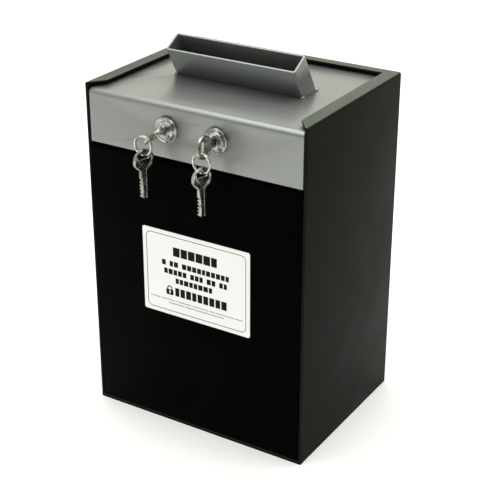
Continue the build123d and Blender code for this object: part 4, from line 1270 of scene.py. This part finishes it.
@dataclass
class CamLock:
    """One cam lock: turned bezel with its threaded barrel, and the plug that the key turns."""

    shop: Shop
    side: str
    bezel: float = 2.2 * MM
    barrel_radius: float = 7.9 * MM
    bore: float = 5.55 * MM
    head: float = 6.25 * MM
    head_depth: float = 1.2 * MM
    groove_in: float = 6.7 * MM
    groove_out: float = 7.75 * MM
    groove_depth: float = 0.6 * MM
    thread_pitch: float = 1.0 * MM
    thread_depth: float = 0.5 * MM
    chamfer: float = 0.1 * MM
    rim_round: float = 0.7 * MM
    plug_edge: float = 0.12 * MM
    sharp_angle: float = 35.0
    steps: int = 96

    def build(self) -> None:
        """Make the turned case and the plug."""
        low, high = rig.box(f"{self.side}_lock_body")
        hub = Vector(((low.x + high.x) / 2, low.y, (low.z + high.z) / 2))
        rim, length, small, pitch = (high.x - low.x) / 2, high.y - low.y, self.chamfer, self.thread_pitch
        groove_in, groove_out, floor = self.groove_in, self.groove_out, self.groove_depth
        root = self.barrel_radius - self.thread_depth
        shoulder = (rim - self.rim_round, self.rim_round)
        profile = [(self.bore, length), (self.bore, self.head_depth), (self.head, self.head_depth),
                   (self.head, small), (self.head + small, 0),
                   (groove_in - small, 0), (groove_in, small), (groove_in + small, floor),
                   (groove_out - small, floor), (groove_out, small), (groove_out + small, 0),
                   *arc(shoulder, self.rim_round, -90, 0, 6),
                   (rim, self.bezel - small), (rim - small, self.bezel), (self.barrel_radius, self.bezel)]
        place = self.bezel + 2 * pitch
        while place < length - pitch:
            profile += [(self.barrel_radius, place), (root, place + pitch / 2)]
            place += pitch
        profile += [(self.barrel_radius, place), (root, length)]
        case = lathe(f"{self.side}_lock_case", profile, hub, self.steps)
        case.data.shade_smooth()
        case.data.set_sharp_from_angle(angle=radians(self.sharp_angle))
        self.shop.deliver(case, "lid", Finish.CHROME, f"{self.side}_lock_body")
        plug = frame_copy(f"{self.side}_plug", f"{self.side}_lock_plug")
        ease(plug, self.plug_edge)
        self.shop.deliver(plug, f"{self.side}_core", Finish.CHROME, f"{self.side}_plug")


@dataclass
class FlatKey:
    """One flat key: blade with cuts and milled grooves, thin round bow with a raised border."""

    shop: Shop
    name: str
    node: str
    body: str
    hanging: bool
    turn: float
    bow_length: float = 15.8 * MM
    bow_width: float = 16.4 * MM
    border: float = 1.3 * MM
    web: float = 0.55 * MM
    thick: float = 1.0 * MM
    slot_width: float = 9.6 * MM
    slot_height: float = 4.0 * MM
    slot_to_end: float = 5.2 * MM
    blade_width: float = 6.8 * MM
    blade_length: float = 19.5 * MM
    blade_root: float = 1.5 * MM
    blade_share: float = 0.97
    cuts: int = 5
    cut_depth: float = 1.0 * MM
    cut_flank: float = 0.42
    cut_root: float = 0.08
    plain: float = 5.0 * MM
    plain_tip: float = 2.0 * MM
    tip_chamfer: float = 1.6 * MM
    slot_rim: float = 0.9 * MM
    rim_share: float = 0.86
    groove_offset: float = 0.9 * MM
    groove_half: float = 0.55 * MM
    groove_floor: float = 0.55
    groove_start: float = 2.2 * MM
    edge: float = 0.16 * MM
    steps: int = 96

    def axes(self) -> Matrix:
        """Where the key lies: x runs to the tip, y across the blade, z through the sheet.

        Returns:
            The matrix from the key's own coordinates to the frame's.
        """
        low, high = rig.box(self.node)
        middle = (low + high) / 2
        if self.hanging:
            origin = Vector((middle.x, middle.y, high.z - self.bow_length))
            tip = Vector((0, 0, -1))
            across = Vector((sin(self.turn), cos(self.turn), 0))
        else:
            origin = Vector((middle.x, low.y + self.bow_length, middle.z))
            tip = Vector((0, 1, 0))
            across = Vector((sin(self.turn), 0, cos(self.turn)))
        through = tip.cross(across)
        turned = Matrix((tip, across, through)).transposed().to_4x4()
        return Matrix.Translation(origin) @ turned

    def plate(self, outline: Sequence[Point], half: float) -> bpy.types.Object:
        """A flat plate in the key's own coordinates, from -half up to half."""
        return prism("plate", outline, -half, half, as_given)

    def blade_outline(self) -> list[Point]:
        """The blade's outline with its cuts on both edges and its chamfered tip.

        Returns:
            The outline, from inside the bow to the tip and back.
        """
        half = self.blade_width / 2
        pitch = (self.blade_length - self.plain - self.plain_tip) / self.cuts
        upper: list[Point] = [(-self.blade_root, half)]
        for i in range(self.cuts):
            root = self.plain + (i + 0.5) * pitch
            flank, flat = self.cut_flank * pitch, self.cut_root * pitch
            upper += [(root - flank, half), (root - flat, half - self.cut_depth),
                      (root + flat, half - self.cut_depth), (root + flank, half)]
        upper += [(self.blade_length - self.tip_chamfer, half), (self.blade_length, half - self.tip_chamfer)]
        return upper + [(a, -b) for a, b in reversed(upper)]

    def build(self) -> None:
        """Make the key: bow web, raised border, blade, then the slot and the grooves."""
        centre = (-self.bow_length / 2, 0.0)
        turns = [2 * pi * i / self.steps for i in range(self.steps)]

        def oval(shrink: float) -> list[Point]:
            """The bow's outline, drawn in by an amount."""
            half_length, half_width = self.bow_length / 2 - shrink, self.bow_width / 2 - shrink
            return [(centre[0] + half_length * cos(t), half_width * sin(t)) for t in turns]

        slot_x = self.slot_to_end - self.bow_length
        end = (self.slot_width - self.slot_height) / 2

        def slot(grow_by: float) -> list[Point]:
            """The ring slot's outline, widened by an amount."""
            radius = self.slot_height / 2 + grow_by
            return arc((slot_x, end), radius, 0, 180, 14) + arc((slot_x, -end), radius, 180, 360, 14)

        key = self.plate(oval(0.0), self.thick)
        for side in (-1, 1):
            bottom, top = sorted((side * self.web, side * 2 * self.thick))
            combine(key, prism("cutter", oval(self.border), bottom, top, as_given), "DIFFERENCE")
        combine(key, self.plate(slot(self.slot_rim), self.thick * self.rim_share), "UNION")
        combine(key, self.plate(self.blade_outline(), self.thick * self.blade_share), "UNION")
        combine(key, self.plate(slot(0.0), 2 * self.thick), "DIFFERENCE")
        for side in (-1, 1):
            middle = side * self.groove_offset
            bottom, top = sorted((side * self.thick * self.groove_floor, side * 2 * self.thick))
            groove = block("cutter", (-self.groove_start, middle - self.groove_half, bottom),
                           (self.blade_length + SPARE, middle + self.groove_half, top))
            combine(key, groove, "DIFFERENCE")
        ease(key, self.edge)
        key.data.transform(self.axes())
        key.name = self.name
        self.shop.deliver(key, self.body, Finish.NICKEL, self.node)


@dataclass
class SplitRing:
    """One split ring: two turns of flat wire lying together."""

    shop: Shop
    side: str
    wire: float = 1.1 * MM
    corner: float = 0.28 * MM
    share: float = 0.98
    step_angle: float = 0.55
    step_place: float = 2.2
    steps: int = 180
    sharp_angle: float = 40.0

    def build(self) -> None:
        """Wind the wire about its axis and stand it upright."""
        low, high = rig.box(f"{self.side}_split_ring")
        mean = (high.x - low.x - self.wire) / 2
        ring = grow(self.shop.trees["ring"], f"{self.side}_wound_ring", {
            "Mean Radius": mean, "Wire Height": (high.y - low.y) / 2 * self.share, "Wire Width": self.wire,
            "Corner": self.corner, "Step Angle": self.step_angle, "Steps": self.steps,
            "Material": self.shop.materials[Finish.RING]})
        upright = Matrix.Rotation(pi / 2, 4, "X") @ Matrix.Rotation(self.step_place, 4, "Z")
        ring.data.transform(Matrix.Translation((low + high) / 2) @ upright)
        ring.data.shade_smooth()
        ring.data.set_sharp_from_angle(angle=radians(self.sharp_angle))
        self.shop.deliver(ring, f"{self.side}_ring", Finish.RING, f"{self.side}_split_ring")


@dataclass
class Studio:
    """The pale floor, the soft lights and the camera."""

    azimuth: float = 31.85
    elevation: float = 25.38
    distance: float = 0.954
    lens: float = 93.6
    target: Vector = field(default_factory=lambda: Vector((-0.2 * MM, 0.0, 124.6 * MM)))
    floor_half: float = 8.0
    floor_drop: float = 0.05 * MM
    floor_tone: float = 0.93

    def build(self) -> None:
        """Make the floor, the lights, the surroundings and the camera."""
        self.floor()
        self.softbox("overhead", Vector((0.0, -0.1, 1.5)), 1.8, 26.0, (0.93, 0.96, 1.0))
        self.softbox("right_side", Vector((1.8, 0.6, 1.2)), 1.2, 3.0, (0.98, 1.0, 0.95))
        self.surroundings(Vector((-0.5, 0.75, 0.43)), 0.45, 1.3)
        self.camera()

    def floor(self) -> None:
        """Make the plain pale floor."""
        half = self.floor_half
        square = [(-half, -half, 0), (half, -half, 0), (half, half, 0), (-half, half, 0)]
        floor = object_from("floor", square, [[0, 1, 2, 3]])
        floor.location.z = -self.floor_drop
        material = bpy.data.materials.new("floor_white")
        material.use_nodes = True
        shader = material.node_tree.nodes["Principled BSDF"]
        shader.inputs["Base Color"].default_value = (self.floor_tone, self.floor_tone, self.floor_tone, 1.0)
        shader.inputs["Roughness"].default_value = 0.8
        shader.inputs["Specular IOR Level"].default_value = 0.1
        floor.data.materials.append(material)
        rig.stage(floor)

    def softbox(self, name: str, place: Vector, size: float, power: float,
                colour: tuple[float, float, float]) -> None:
        """Add one square soft light aimed at the object.

        Args:
            name: The light's name.
            place: Where it stands.
            size: Its side.
            power: Its power in watts.
            colour: Its colour.
        """
        light = bpy.data.lights.new(name, "AREA")
        light.shape, light.size, light.energy, light.color = "SQUARE", size, power, colour
        lamp = bpy.data.objects.new(name, light)
        bpy.context.scene.collection.objects.link(lamp)
        self.aim(lamp, place)

    def surroundings(self, bright: Vector, low: float, high: float) -> None:
        """Light the scene from a pale surrounding that is brighter on one side.

        Args:
            bright: The direction of the brighter side.
            low: Strength on the side away from it.
            high: Strength on the brighter side.
        """
        world = bpy.data.worlds.new("pale_room")
        world.use_nodes = True
        tree = world.node_tree
        sky = tree.nodes["Background"]
        sky.inputs["Color"].default_value = (1.0, 1.01, 0.86, 1.0)
        place = add_node(tree, "ShaderNodeTexCoord")
        along = add_node(tree, "ShaderNodeVectorMath", operation="DOT_PRODUCT")
        along.inputs[1].default_value = bright.normalized()
        ramp = add_node(tree, "ShaderNodeMapRange", interpolation_type="SMOOTHSTEP")
        ramp.inputs["From Min"].default_value = -0.6
        ramp.inputs["From Max"].default_value = 0.85
        ramp.inputs["To Min"].default_value = low
        ramp.inputs["To Max"].default_value = high
        wire(tree, (
            (place, "Generated", along, 0), (along, "Value", ramp, "Value"),
            (ramp, "Result", sky, "Strength")))
        bpy.context.scene.world = world

    def aim(self, thing: bpy.types.Object, place: Vector) -> None:
        """Stand a light or the camera at a place and aim it at the target.

        Args:
            thing: The light or camera.
            place: Where it stands.
        """
        thing.location = place
        thing.rotation_euler = (self.target - place).to_track_quat("-Z", "Y").to_euler()

    def camera(self) -> None:
        """Make the scene's camera."""
        turn, lift = radians(self.azimuth), radians(self.elevation)
        back = Vector((sin(turn) * cos(lift), -cos(turn) * cos(lift), sin(lift)))
        data = bpy.data.cameras.new("camera")
        data.sensor_width, data.lens, data.clip_start = 36.0, self.lens, 0.05
        camera = bpy.data.objects.new("camera", data)
        bpy.context.scene.collection.objects.link(camera)
        self.aim(camera, self.target + back * self.distance)
        bpy.context.scene.camera = camera


def corners(bounds: Iterable[Iterable[float]]) -> list[list[float]]:
    """A box's two corners as plain lists of numbers."""
    return [[float(value) for value in corner] for corner in bounds]


def main() -> None:
    """Build every sub-assembly in order and note the sizes."""
    logging.basicConfig(level=logging.INFO, format="%(message)s")
    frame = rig.load()
    cad_box = corners(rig.bounds())
    bpy.context.scene.view_settings.view_transform = "Standard"
    Studio().build()
    shop = Shop()
    shop.open()
    shop.dress_nodes({part["node"]: part["material_slot"] for part in frame["record"]["subparts"]})
    Housing(shop).build()
    InnerBox(shop).build()
    Lid(shop).build()
    for side, key_turn in (("left", radians(45)), ("right", 0.0)):
        CamLock(shop, side).build()
        FlatKey(shop, f"{side}_lock_key", f"{side}_key", f"{side}_inserted_key", False, key_turn).build()
        SplitRing(shop, side).build()
        FlatKey(shop, f"{side}_second_key", f"{side}_spare_key", f"{side}_hanging_key", True,
                radians(16)).build()
    LOG.info("%d pieces made", len(shop.made))
    with open("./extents.json", "w") as note:
        json.dump({"cad": cad_box, "visual": corners(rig.bounds())}, note)


if __name__ == "__main__":
    main()
